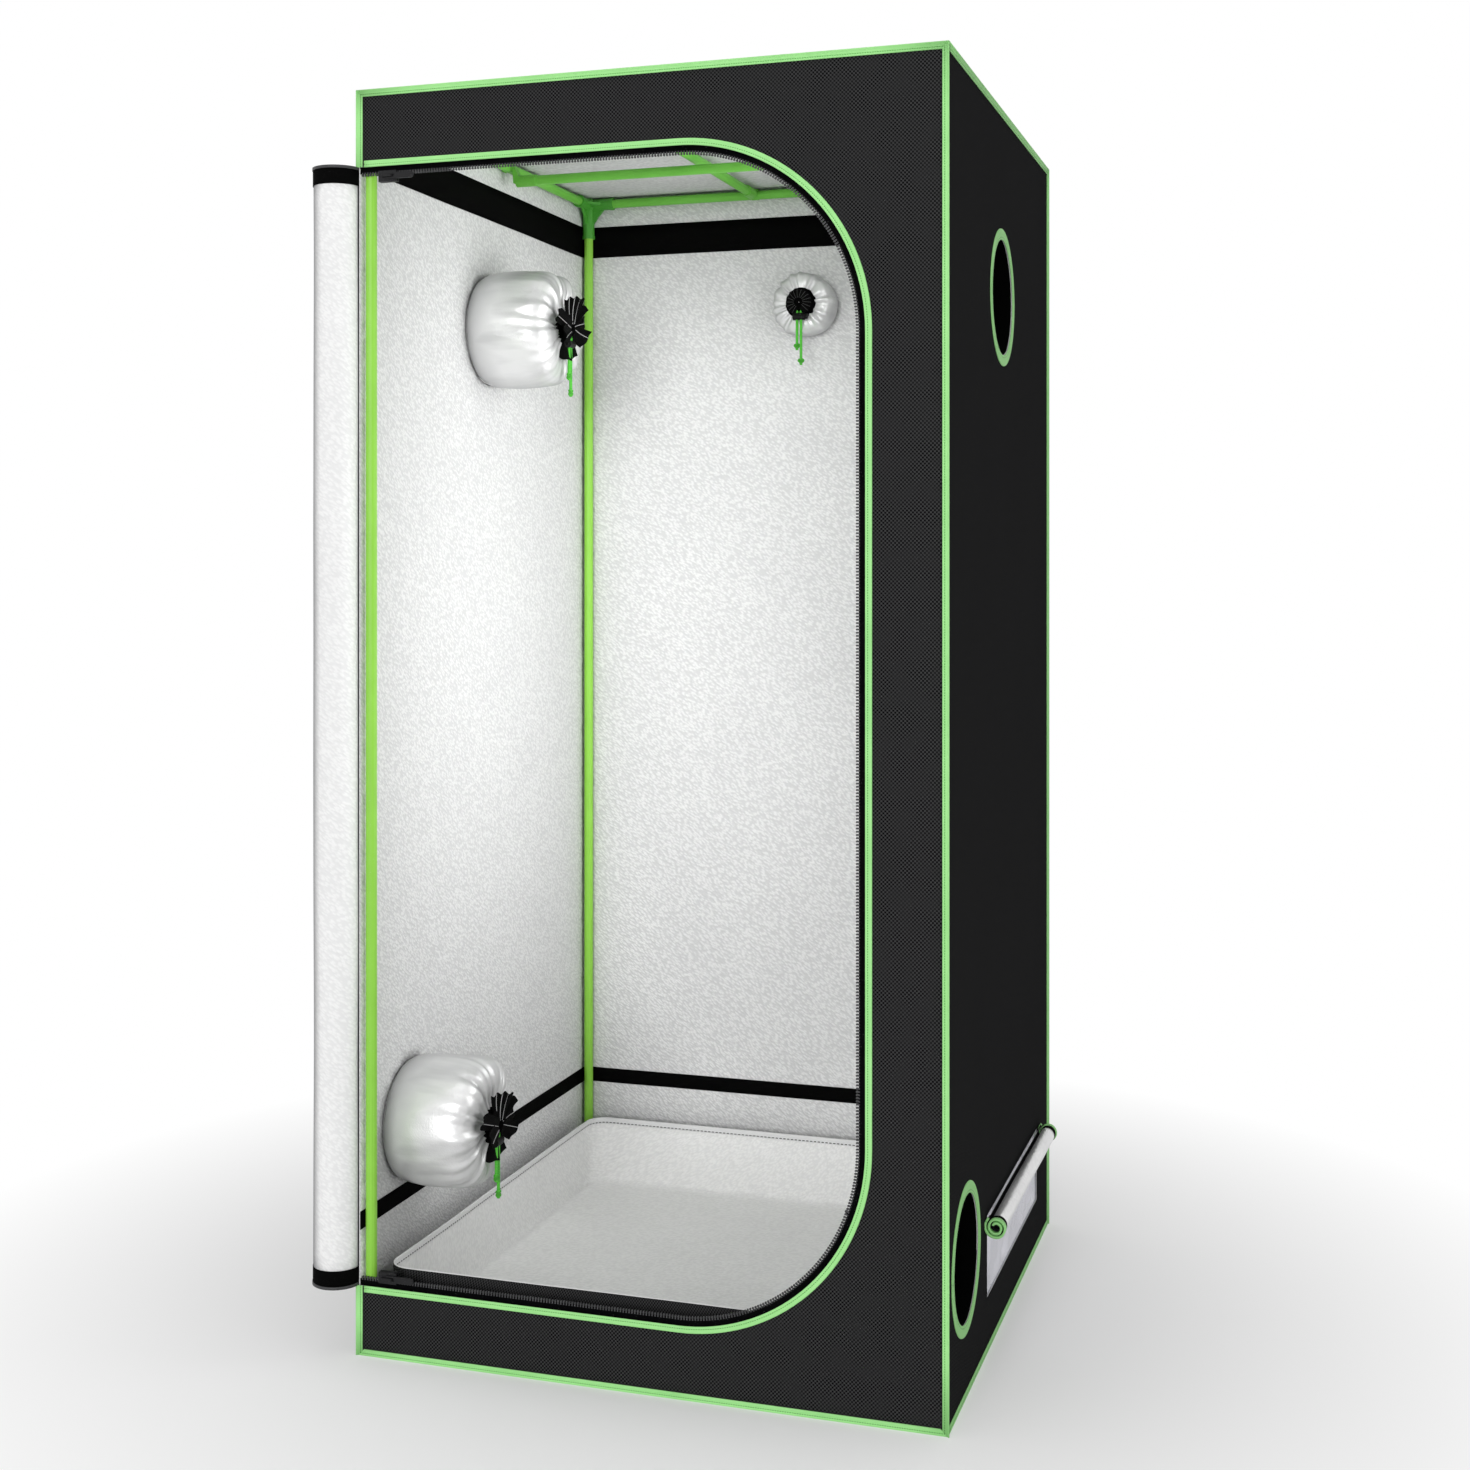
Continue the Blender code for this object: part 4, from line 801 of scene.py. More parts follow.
def thicken(piece, thickness, inner_finish=0, offset=-1.0):
    """Turn a surface into cloth with two faces, the inner one in its own finish"""
    solid = piece.modifiers.new("thickness", "SOLIDIFY")
    solid.thickness = thickness
    solid.offset = offset
    solid.material_offset = inner_finish
    solid.material_offset_rim = inner_finish
    return piece


# %% Helper: holes with round corners
def hole_distance(hole, u, v):
    """Distance from a hole's edge: negative inside a box with round corners"""
    middle_u, middle_v, half_u, half_v, corner = hole
    du = abs(u - middle_u) - half_u + corner
    dv = abs(v - middle_v) - half_v + corner
    return math.hypot(max(du, 0), max(dv, 0)) + min(max(du, dv), 0) - corner


def hole_outline(hole, fine):
    """Points round the hole's edge, about a fine step apart"""
    middle_u, middle_v, half_u, half_v, corner = hole
    corners = []
    steps = max(1, round(corner * math.pi / 2 / fine))
    for turn, (sign_u, sign_v) in enumerate(((1, 1), (-1, 1), (-1, -1), (1, -1))):
        for i in range(steps + 1 if corner else 1):
            angle = (turn + i / steps) * math.pi / 2
            corners.append(
                (
                    middle_u + sign_u * (half_u - corner) + corner * math.cos(angle),
                    middle_v + sign_v * (half_v - corner) + corner * math.sin(angle),
                )
            )
    points = []
    for (u, v), (next_u, next_v) in zip(corners, corners[1:] + corners[:1]):
        length = math.hypot(next_u - u, next_v - v)
        if length < fine / 100:
            continue
        count = max(1, round(length / (2 * fine)))
        points += [(u + (next_u - u) * i / count, v + (next_v - v) * i / count) for i in range(count)]
    return points


# %% Helper: triangulate a cut
FINE_STEP = 0.006
CELL = 0.019


def cut_cloth(low, high, holes):
    """Points and triangles of a rectangular cut with holes, in the cut's own two directions"""
    wide, tall = high[0] - low[0], high[1] - low[1]
    outer = ((low[0] + high[0]) / 2, (low[1] + high[1]) / 2, wide / 2, tall / 2, 0)
    loops = [hole_outline(outer, CELL / 2)] + [hole_outline(hole, FINE_STEP) for hole in holes]
    points, edges = [], []
    for loop in loops:
        first = len(points)
        points += [Vector(p) for p in loop]
        edges += [(first + i, first + (i + 1) % len(loop)) for i in range(len(loop))]
    rows, columns = round(tall / CELL), round(wide / CELL)
    for row in range(1, rows):
        for column in range(1, columns):
            u = low[0] + wide * (column + 0.5 * (row % 2) - 0.25) / columns
            v = low[1] + tall * row / rows
            if all(hole_distance(hole, u, v) > FINE_STEP for hole in holes):
                points.append(Vector((u, v)))
    made = geometry.delaunay_2d_cdt(points, edges, [], 0, 1e-6)
    flat, faces = made[0], made[2]
    kept = []
    for face in faces:
        middle = sum((flat[i] for i in face), Vector((0, 0))) / len(face)
        if hole_distance(outer, *middle) < 0 and all(hole_distance(hole, *middle) > 0 for hole in holes):
            kept.append(face)
    return tidy_cut(flat, kept)


def tidy_cut(flat, faces):
    """Leave out the points that no triangle uses"""
    used = sorted({i for face in faces for i in face})
    number = {old: new for new, old in enumerate(used)}
    return [flat[i] for i in used], [tuple(number[i] for i in face) for face in faces]


# %% [markdown]
# Taut cloth still moves a little between its seams. A slow noise pushes each panel in and out by a
# millimetre or so, and dies away towards its seams, its rings and its openings, where it is held.

# %% Helper: how far a panel stands off its flat
WAVE = 0.0016
HELD_EDGE = 0.06
SLOW_WAVES, QUICK_WAVES = (3.1, 2.1), (9, 6.5)
QUICK_SHARE = 0.45


def ease(value, low, high):
    """A smooth step from 0 at low to 1 at high"""
    share = min(max((value - low) / (high - low), 0), 1)
    return share * share * (3 - 2 * share)


def cloth_wave(seed, low, high, holes, u, v):
    """Distance that the cloth stands proud at a place on its cut"""
    edges = [u - low[0], high[0] - u, v - low[1], high[1] - v]
    free = ease(min(edges + [hole_distance(hole, u, v) for hole in holes]), 0, HELD_EDGE)
    slow = noise.noise(Vector((u * SLOW_WAVES[0], v * SLOW_WAVES[1], seed)))
    quick = noise.noise(Vector((u * QUICK_WAVES[0], v * QUICK_WAVES[1], seed + 9)))
    return WAVE * free * (slow + QUICK_SHARE * quick)


# %% Helper: where each wall's cut lies
def wall_place(wall):
    """The wall's origin, its two directions along the cut, and its outward direction"""
    places = {
        "front": (Vector((0, -COVER_Y, 0)), Vector((1, 0, 0)), UP, Vector((0, -1, 0))),
        "back": (Vector((0, COVER_Y, 0)), Vector((-1, 0, 0)), UP, Vector((0, 1, 0))),
        "left": (Vector((-COVER_X, 0, 0)), Vector((0, -1, 0)), UP, Vector((-1, 0, 0))),
        "right": (Vector((COVER_X, 0, 0)), Vector((0, 1, 0)), UP, Vector((1, 0, 0))),
        "roof": (Vector((0, 0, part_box("roof_panel")[1].z)), Vector((1, 0, 0)), Vector((0, 1, 0)), UP),
        "floor": (Vector((0, 0, 0)), Vector((-1, 0, 0)), Vector((0, 1, 0)), -UP),
    }
    return places[wall]


# %% Where the vent is
VENT_HEM = 0.01
net_low, net_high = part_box("vent_net")
VENT_HOLE = (
    (net_low.y + net_high.y) / 2,
    (net_low.z + net_high.z) / 2,
    (net_high.y - net_low.y) / 2 - VENT_HEM,
    (net_high.z - net_low.z) / 2 - VENT_HEM,
    0,
)


# %% [markdown]
# ### The panels
# One function cuts and lays a panel. The shell is black outside and silver inside, which the
# thickness step does by giving the inner face the next finish in the list. The front's opening is
# one more hole, set so far to the left that its left side falls outside the panel.

# %% Panels
SEAM_ALLOWANCE = 0.012
LEAST_CUT = 0.301
DOOR_HOLE = (
    (DOOR_RIGHT - 3 * HALF_X) / 2,
    (DOOR_SILL + DOOR_HEAD) / 2,
    (DOOR_RIGHT + 3 * HALF_X) / 2,
    (DOOR_HEAD - DOOR_SILL) / 2,
    DOOR_CORNER,
)


def wall_holes(wall):
    """The holes of a wall, in the wall's own two directions"""
    if wall == "front":
        return [DOOR_HOLE]
    across = wall_place(wall)[1]
    holes = []
    for port in ports:
        if port["wall"] == wall:
            hole = port["hole"]
            holes.append((port["middle"].dot(across), port["middle"].z, hole, hole, hole))
    if wall == "right":
        holes.append(VENT_HOLE)
    return holes


def wall_limits(wall):
    """Lowest and highest corner of a panel's cut"""
    if wall in ("roof", "floor"):
        return (-COVER_X, -COVER_Y), (COVER_X, COVER_Y)
    if wall in ("left", "right"):
        return (-INSIDE_Y, WALL_LOW), (INSIDE_Y, WALL_HIGH)
    return (-COVER_X, WALL_LOW), (COVER_X, WALL_HIGH)


def wall_point(wall, u, v, proud=0.0):
    """A point on a panel's outer face, or so far proud of it"""
    origin, across, along, outward = wall_place(wall)
    low, high = wall_limits(wall)
    lift = 0 if wall == "floor" else cloth_wave(WALL_SEEDS[wall], low, high, wall_holes(wall), u, v)
    return origin + across * u + along * v + outward * (lift + proud)


WALL_SEEDS = {"front": 3.5, "back": 17.2, "left": 29.9, "right": 41.3, "roof": 53.6, "floor": 0.0}


def make_panel(wall, node):
    low, high = wall_limits(wall)
    holes = wall_holes(wall)
    flat, faces = cut_cloth(low, high, holes)
    points = [wall_point(wall, u, v) for u, v in flat]
    panel = add_piece(wall + "_cloth", (points, flat, faces), [shell_finish, lining_finish])
    thicken(panel, CLOTH, inner_finish=1)
    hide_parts(node)
    area = sum(polygon.area for polygon in panel.data.polygons)
    edge = sum(2 * (hole[2] + hole[3]) for hole in holes) + 2 * (high[0] - low[0] + high[1] - low[1])
    size = tuple(h - l + 2 * SEAM_ALLOWANCE for l, h in zip(low, high))
    cut = min(area + edge * SEAM_ALLOWANCE, size[0] * size[1])
    cut = max(cut, LEAST_CUT * size[0] * size[1])
    print(wall, "panel:", len(faces), "triangles,", round(area, 3), "square metres")
    return panel


panels = {wall: make_panel(wall, wall + "_wall") for wall in ("back", "left", "right")}
panels["front"] = make_panel("front", "front_panel")
panels["roof"] = make_panel("roof", "roof_panel")
panels["floor"] = make_panel("floor", "floor_panel")

# %% [markdown]
# ### Black bands
# Two black bands are sewn round the inside, one under the roof and one just above the tray. They are
# laid on the wall by the same function as the panel, so they follow its waves a little closer in.

# %% Black bands on the inner faces
BAND_HEIGHTS = {"upper": (1.690, 1.746), "lower": (0.177, 0.203)}
BAND_GAP = 0.0004
BAND_COLUMNS, BAND_ROWS = 44, 3


def make_band(wall, level):
    """One strip of black cloth across a wall's inner face"""
    bottom, top = BAND_HEIGHTS[level]
    low, high = wall_limits(wall)
    uvs = []
    for row in range(BAND_ROWS + 1):
        for column in range(BAND_COLUMNS + 1):
            u = low[0] + (high[0] - low[0]) * column / BAND_COLUMNS
            uvs.append((u, bottom + (top - bottom) * row / BAND_ROWS))
    points = [wall_point(wall, u, v, -CLOTH - BAND_GAP) for u, v in uvs]
    shape = points, uvs, grid_faces(BAND_ROWS, BAND_COLUMNS)
    band = add_piece("_".join((level, "band", wall)), shape, [band_finish])
    thicken(band, BAND_GAP)
    return band


bands = [make_band(wall, "upper") for wall in ("left", "back", "right")]
bands += [make_band(wall, "lower") for wall in ("left", "back")]
print("bands:", len(bands))


# %% [markdown]
# ## Tapes
# Binding is a folded tape: two soft ridges with a valley between them where the needle went. It is one
# profile swept along a line, so one helper makes the edge binding, the opening's binding, the rings and
# the zipper's tape. Its UV runs across the tape and along it, in metres, for the stitches.

# %% Helper: sweep a profile
def sweep(stations, profile, closed_path=False, closed_profile=True):
    """Points, faces and UVs of a profile carried along stations of (place, across, outward)"""
    points, uvs, faces = [], [], []
    across_length = [0.0]
    for (a, b), (c, d) in zip(profile, profile[1:]):
        across_length.append(across_length[-1] + math.hypot(c - a, d - b))
    walked, before = 0.0, stations[0][0]
    for place, across, outward in stations:
        walked += (place - before).length
        before = place
        for (n, h), width in zip(profile, across_length):
            points.append(place + across * n + outward * h)
            uvs.append((width, walked))
    count = len(profile)
    spans = len(stations) if closed_path else len(stations) - 1
    sides = count if closed_profile else count - 1
    for i in range(spans):
        j = (i + 1) % len(stations)
        for k in range(sides):
            m = (k + 1) % count
            faces.append((i * count + k, i * count + m, j * count + m, j * count + k))
    if closed_profile and not closed_path:
        faces.append(tuple(range(count))[::-1])
        faces.append(tuple((len(stations) - 1) * count + k for k in range(count)))
    return points, uvs, faces


def merge(parts):
    """Join several swept shapes into one list of points, UVs and faces"""
    points, uvs, faces = [], [], []
    for part_points, part_uvs, part_faces in parts:
        first = len(points)
        points += part_points
        uvs += part_uvs
        faces += [tuple(first + i for i in face) for face in part_faces]
    return points, uvs, faces


# Outer face of a flat tape as shares of its width and of its height: edge, ridge, valley, ridge, edge
TAPE_SHARES = (
    (0, 0), (0.02, 0.7), (0.14, 1), (0.34, 0.94), (0.46, 0.5),
    (0.54, 0.5), (0.66, 0.94), (0.86, 1), (0.98, 0.7), (1, 0),
)


def tape_profile(start, end, proud):
    """Closed profile of a flat tape between two offsets"""
    return [(start + (end - start) * share, proud * height) for share, height in TAPE_SHARES]


# %% [markdown]
# ### The opening's binding and zipper
# The opening's edge runs straight along the head, round a large arc, down the side, round the other
# arc and back along the sill. The binding, the zipper's tape and its teeth all follow this line.

# %% The line round the opening
def door_line(step, left):
    """Stations along the opening's edge, whose first direction points into the opening"""
    straight, quarter = DOOR_RIGHT - DOOR_CORNER, math.pi / 2
    side_low, side_high = DOOR_SILL + DOOR_CORNER, DOOR_HEAD - DOOR_CORNER
    lengths = (straight - left, DOOR_CORNER * math.pi / 2, side_high - side_low)
    flats, turns, sides = (max(1, round(length / step)) for length in lengths)

    def arc(height, angle):
        """A station on the corner whose middle is at a height"""
        return straight + DOOR_CORNER * math.cos(angle), height + DOOR_CORNER * math.sin(angle), angle

    stations = [(left + (straight - left) * i / flats, DOOR_HEAD, quarter) for i in range(flats)]
    stations += [arc(side_high, quarter * (1 - i / turns)) for i in range(turns)]
    stations += [(DOOR_RIGHT, side_high + (side_low - side_high) * i / sides, 0) for i in range(sides)]
    stations += [arc(side_low, -quarter * i / turns) for i in range(turns)]
    stations += [(straight + (left - straight) * i / flats, DOOR_SILL, -quarter) for i in range(flats + 1)]
    return stations


def door_stations(step, left, y):
    """The opening's line as places with their inward and outward directions"""
    return [
        (Vector((x, y, z)), Vector((-math.cos(a), 0, -math.sin(a))), Vector((0, -1, 0)))
        for x, z, a in door_line(step, left)
    ]


# %% Binding along the opening
BINDING_GAP = 0.0002
BINDING_LAP = 0.0006
DOOR_STEP = 0.012
door_edge = door_stations(DOOR_STEP, TAPE_WIDTH - COVER_X, -COVER_Y - BINDING_GAP)
door_shape = sweep(door_edge, tape_profile(BINDING_LAP, -TAPE_WIDTH, TAPE_PROUD))
door_trim = add_piece("opening_binding", door_shape, [tape_finish])
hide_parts("door_binding")
print("opening binding:", len(door_shape[2]), "faces")

# %% Zipper tape
TAPE_BACK = 0.010
TAPE_FREE = 0.0095
TAPE_HALF = 0.0004
# One face of the zipper's tape: places across it, and how thick it is there
TAPE_FACE = ((-TAPE_BACK, 1), (TAPE_FREE * 0.55, 1), (TAPE_FREE * 0.6, 1.9), (TAPE_FREE, 2.4))
zip_edge = door_stations(DOOR_STEP, -INSIDE_X + 0.0003, ZIP_Y)
zip_profile = [(across, TAPE_HALF * thick) for across, thick in TAPE_FACE]
zip_profile += [(across, -TAPE_HALF * thick) for across, thick in reversed(TAPE_FACE)]
zip_cloth = add_piece("zipper_cloth", sweep(zip_edge, zip_profile), [zip_cloth_finish])
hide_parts("zip_tape")

# %% [markdown]
# A coarse zipper's teeth are separate blocks with a waist, pressed onto the cord at the tape's edge.
# Each tooth is a short profile set across the line, and the loop lays one at every step.

# %% Zipper teeth
TOOTH_PITCH = 0.0042
TOOTH_START, TOOTH_END = 0.0080, 0.0134
TOOTH_HALF = 0.0012
# A tooth's outline: shares of its length, and of its half width
TOOTH_SHARES = ((0, 0.9), (0.45, 0.62), (0.62, 0.95), (0.85, 0.95), (1, 0.5))


def tooth_shape(place, across, outward):
    """One tooth: wide at the tape, a waist, and a rounded head"""
    along = across.cross(outward)
    ring = list(TOOTH_SHARES) + [(share, -half) for share, half in reversed(TOOTH_SHARES)]
    points = []
    for side in (1, -1):
        for share, half in ring:
            reach = across * (TOOTH_START + (TOOTH_END - TOOTH_START) * share)
            width = along * (half * TOOTH_PITCH * 0.3)
            points.append(place + reach + width + outward * (side * TOOTH_HALF))
    count = len(ring)
    faces = [tuple(range(count)), tuple(range(2 * count - 1, count - 1, -1))]
    faces += [(i, i + count, (i + 1) % count + count, (i + 1) % count) for i in range(count)]
    return points, [(p.x, p.z) for p in points], faces


teeth_line = door_stations(TOOTH_PITCH, -INSIDE_X + 0.004, ZIP_Y)
teeth_shape = merge([tooth_shape(*station) for station in teeth_line])
teeth = add_piece("zipper_teeth", teeth_shape, [zip_teeth_finish])
teeth.data.shade_flat()
print("zipper teeth:", len(teeth_line))

# %% [markdown]
# ### The edge binding
# Along each edge of the box the same tape is folded over the corner, so its profile turns a right
# angle with a small round. Where three edges meet, each tape is cut on the slant of its two faces, as
# a picture frame is. The front left edge has it only above and below the opening, because there the
# door is sewn in instead.

# %% Edge binding
# Outer face of one flap of the folded tape, and the round of its fold, as shares
FLAP_SHARES = (
    (0, 0), (0.03, 0.7), (0.15, 1), (0.38, 0.94), (0.46, 0.5), (0.54, 0.5), (0.62, 0.94), (0.85, 1), (1, 1),
)
PINCH_SHARES = ((0.75, 0.4), (1, 0.85), (0.85, 1), (0.4, 0.75))
FOLD_DEPTH = 0.0003
FLAP_WIDTH = 0.0066
PINCH = 0.0032


def fold_profile(wraps):
    """Offsets out of the two faces of a tape folded over an edge, or of its first flap only"""
    flap_width = FLAP_WIDTH if wraps else TAPE_WIDTH
    flap = [(TAPE_PROUD * height, -flap_width * (1 - share)) for share, height in FLAP_SHARES]
    if not wraps:
        return flap + [(0.0, 0.0)]
    corner = [(PINCH * a, PINCH * b) for a, b in PINCH_SHARES]
    return flap + corner + [(b, a) for a, b in reversed(flap)] + [(-FOLD_DEPTH, -FOLD_DEPTH)]


def edge_tape(start, end, first, second, cuts):
    """A folded tape from start to end; cuts says which of its ends are cut on the slant"""
    profile = fold_profile(second != -UP)
    along = (end - start).normalized()
    count = max(2, round((end - start).length / 0.1))
    stations = [(start.lerp(end, i / count), first, second) for i in range(count + 1)]
    points, uvs, faces = sweep(stations, profile)
    for station, sign, cut in ((0, 1, cuts[0]), (count, -1, cuts[1])):
        for k, (a, b) in enumerate(profile):
            back = -min(a, b) if cut == "open" else max(0, -min(a, b))
            if cut:
                points[station * len(profile) + k] += along * (sign * back)
    for i, (width, walked) in enumerate(uvs):
        a, b = profile[i % len(profile)]
        uvs[i] = (FLAP_WIDTH + min(a, b) + (TAPE_WIDTH - FLAP_WIDTH) / 2, walked)
    return points, uvs, faces


def box_edges():
    """Start, end, two outward directions and cut ends of each edge of the cover"""
    x, y, top = COVER_X, COVER_Y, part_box("roof_panel")[1].z
    east, north = Vector((1, 0, 0)), Vector((0, 1, 0))
    edges = []
    for z, up, cut in ((0, -UP, "flush"), (top, UP, "open")):
        for s in (-1, 1):
            edges.append((Vector((-x, s * y, z)), Vector((x, s * y, z)), north * s, up, (cut, cut)))
            edges.append((Vector((s * x, -y, z)), Vector((s * x, y, z)), east * s, up, (cut, cut)))
    for sx, sy in ((1, -1), (1, 1), (-1, 1)):
        ends = Vector((sx * x, sy * y, 0)), Vector((sx * x, sy * y, top))
        edges.append((*ends, east * sx, north * sy, ("flush", "open")))
    for z0, z1, cuts in ((0, DOOR_SILL, ("flush", None)), (DOOR_HEAD, top, (None, "open"))):
        edges.append((Vector((-x, -y, z0)), Vector((-x, -y, z1)), -east, -north, cuts))
    return edges


edge_shape = merge([edge_tape(*edge) for edge in box_edges()])
edge_trim = add_piece("edge_tape", edge_shape, [tape_finish])
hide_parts("edge_binding")
print("edge binding:", len(edge_shape[2]), "faces")

# %% [markdown]
# ### The rings round the ports
# Each hole in the cover is bound by a ring of the same tape, laid flat on the outside.

# %% Port rings
RING_STEPS = 128


def make_ring(port):
    """A flat ring of tape round a port's hole, on the cover's outer face"""
    out = -(INSIDE_X - COVER_X) if port["wall"] != "back" else COVER_Y - INSIDE_Y
    outward = port["frame"].to_3x3() @ Vector((0, 0, -1))
    middle = port["middle"] + outward * (out + BINDING_GAP)
    stations = []
    for i in range(RING_STEPS):
        angle = 2 * math.pi * i / RING_STEPS
        away = port["frame"].to_3x3() @ Vector((math.cos(angle), math.sin(angle), 0))
        stations.append((middle + away * port["hole"], away, outward))
    shape = sweep(stations, tape_profile(-BINDING_LAP, RING_WIDTH, TAPE_PROUD), closed_path=True)
    ring = add_piece("ring_" + port["name"], shape, [tape_finish])
    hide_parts("port_ring_" + port["name"])
    return ring


rings = [make_ring(port) for port in ports]
print("rings:", len(rings))


# %% [markdown]
# ## Sleeves
# A sleeve is a tube of film-faced cloth, sewn round the hole and gathered at its inner end. Its shape is
# a revolved profile whose points are then pushed in and out: sharp pleats near the neck, where the
# cloth is crowded, and long soft folds on the drum. The noise is read on a circle, so it closes.

# %% Helper: the sleeve's profile and folds
SLEEVE_BULGE = 0.0105
NECK_RADIUS = 0.0108
PROFILE_STEP = 0.0024
# The sewn end: steps out from the hole's radius, and heights off the wall
SEWN_PLACES = ((0.0012, 0.0003), (0.0042, 0.006))
# Profile of the drum as shares: of its full radius, and of its length
DRUM_SHARES = (
    (0.972, 0.15), (1.0, 0.38), (0.995, 0.64), (0.955, 0.83), (0.85, 0.95), (0.66, 1.0), (0.42, 0.985),
)
# The neck: its radii, and heights past the drum's length
NECK_PLACES = ((0.019, 0.0005), (NECK_RADIUS + 0.001, 0.0045), (NECK_RADIUS, 0.0075), (NECK_RADIUS, 0.0125))
# The gathered end that fills the neck: shares of the neck's radius, and rises past its rim
CLOSE_SHARES = ((0.8, 0.0022), (0.5, 0.0012), (0.2, -0.0008), (0.04, -0.0014))


def sleeve_profile(port):
    """Radius and height of the sleeve from the wall to past its neck, in small steps"""
    hole, length = port["hole"], port["length"]
    full = hole + SLEEVE_BULGE
    places = [Vector((hole + out, height)) for out, height in SEWN_PLACES]
    places += [Vector((full * radius, length * height)) for radius, height in DRUM_SHARES]
    places += [Vector((radius, length + rise)) for radius, rise in NECK_PLACES]
    rim = length + NECK_PLACES[-1][1]
    places += [Vector((NECK_RADIUS * radius, rim + rise)) for radius, rise in CLOSE_SHARES]
    return smooth_line(places, PROFILE_STEP)


# %% [markdown]
# The folds are the sum of four things: pleats that fan out from the neck in two counts that beat
# against each other, a few broad shoulders, soft dents, and sharp creases. A wide sleeve is gathered
# over its last stretch only. The narrow one is gathered over nearly all of its length, and deeper.

# %% Helper: the sleeve's folds
WIDE_HOLE = 0.06
# Shares of the length where the gathers start and end, the two counts of pleats, and their depth
WIDE_GATHERS = (0.55, 1.02, 23, 36, 0.0016)
NARROW_GATHERS = (0.1, 0.9, 14, 22, 0.0030)
SHOULDER_DEPTH, SOFT_DEPTH, CREASE_DEPTH = 0.0042, 0.0042, 0.0034
# The full radius of the sleeve that these depths are for
FOLDED_RADIUS = 0.0965
LOCK_WAY = 0.0012


def fold_depth(port, angle, place, seed):
    """How far the cloth stands out at an angle. Below the neck it stays in, clear of the sliding lock"""
    full, length = port["hole"] + SLEEVE_BULGE, port["length"]
    start, end, turns, fine_turns, pleat_depth = WIDE_GATHERS if port["hole"] > WIDE_HOLE else NARROW_GATHERS
    radius, height = place
    ring = Vector((math.cos(angle), math.sin(angle), 0))
    drift = noise.noise(ring * 1.3 + Vector((0, 0, seed + 9 * height)))
    gathered = ease(height, start * length, end * length)
    loose = ease(height, 0.006, 0.3 * length)
    neck = ease(radius, NECK_RADIUS + 0.0012, 0.03)
    pleats = math.sin(turns * angle + 2.4 * drift) + 0.55 * math.sin(fine_turns * angle + 5 * drift + seed)
    shoulder = abs(math.sin(5.5 * angle + 1.8 * drift + seed)) ** 0.6 - 0.6
    soft = noise.noise(Vector((2.2 * ring.x, 2.2 * ring.y, seed + 6 * height)))
    crease = abs(noise.noise(Vector((5 * ring.x, 5 * ring.y, seed + 14 * height)))) - 0.2
    spread = 1 - 0.62 * ease(radius, 0.4 * full, full)
    crowd = 0.0003 * ease(radius, 0, NECK_RADIUS) + pleat_depth * neck * spread
    depth = gathered * crowd * pleats
    depth += gathered * neck * SHOULDER_DEPTH * shoulder * full / FOLDED_RADIUS
    dents = SOFT_DEPTH * soft + CREASE_DEPTH * crease * (0.4 + gathered)
    depth += loose * neck * dents * full / FOLDED_RADIUS
    below = neck * ease(-ring.y, 0.85, 0.96)
    return depth - below * (max(depth, 0) + LOCK_WAY)


# %% Sleeves
BLACK_RADIUS = 0.027
SLEEVE_CLOTH = 0.0008
WALL_GAP = 0.0004
WIDE_STEPS, NARROW_STEPS = 168, 112


def make_sleeve(port, seed):
    """One gathered sleeve: silver on its outside, black on its inside and round its neck"""
    profile = sleeve_profile(port)
    count = WIDE_STEPS if port["hole"] > WIDE_HOLE else NARROW_STEPS
    full = port["hole"] + SLEEVE_BULGE
    points, uvs, faces, face_finish = [], [], [], []
    walked = 0.0
    for i, place in enumerate(profile):
        before, after = profile[max(i - 1, 0)], profile[min(i + 1, len(profile) - 1)]
        walked += (place - before).length
        tangent = (after - before).normalized()
        normal = Vector((tangent.y, -tangent.x))
        for j in range(count):
            angle = 2 * math.pi * j / count
            moved = place + normal * fold_depth(port, angle, place, seed)
            local = Vector((moved.x * math.cos(angle), moved.x * math.sin(angle), max(moved.y, WALL_GAP)))
            points.append(port["frame"] @ local)
            uvs.append((angle * full, walked))
    for i in range(len(profile) - 1):
        for j in range(count):
            k = (j + 1) % count
            faces.append((i * count + j, i * count + k, (i + 1) * count + k, (i + 1) * count + j))
            face_finish.append(1 if profile[i + 1].x < BLACK_RADIUS else 0)
    finishes = [sleeve_finish, band_finish, band_finish]
    name, shape = "duct_sleeve_" + port["name"], (points, uvs, faces)
    sleeve = add_piece(name, shape, finishes, face_finish=face_finish)
    thicken(sleeve, SLEEVE_CLOTH, inner_finish=1)
    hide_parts("sleeve_" + port["name"])
    area = sum(polygon.area for polygon in sleeve.data.polygons)
    print("sleeve", port["name"], "area", round(area, 4), "walk", round(walked, 3))
    return sleeve, (2 * math.pi * full, walked)


sleeves = {port["name"]: make_sleeve(port, 3.7 * (i + 1)) for i, port in enumerate(ports)}

# %% [markdown]
# ### The frills
# Past the drawstring the end of the cloth spreads out again. Round every neck it stands in a short
# ruffle. On the wide sleeves it also lies in large flat petals, each folded once or twice, with pale
# lines along the folds that are painted highlights, and two more petals hang down behind the cord. The
# narrow sleeve has the ruffle alone, with dark grey lines on its pleats that are painted highlights.

# %% Helper: a petal
PETAL_ROWS, PETAL_COLUMNS = 14, 16


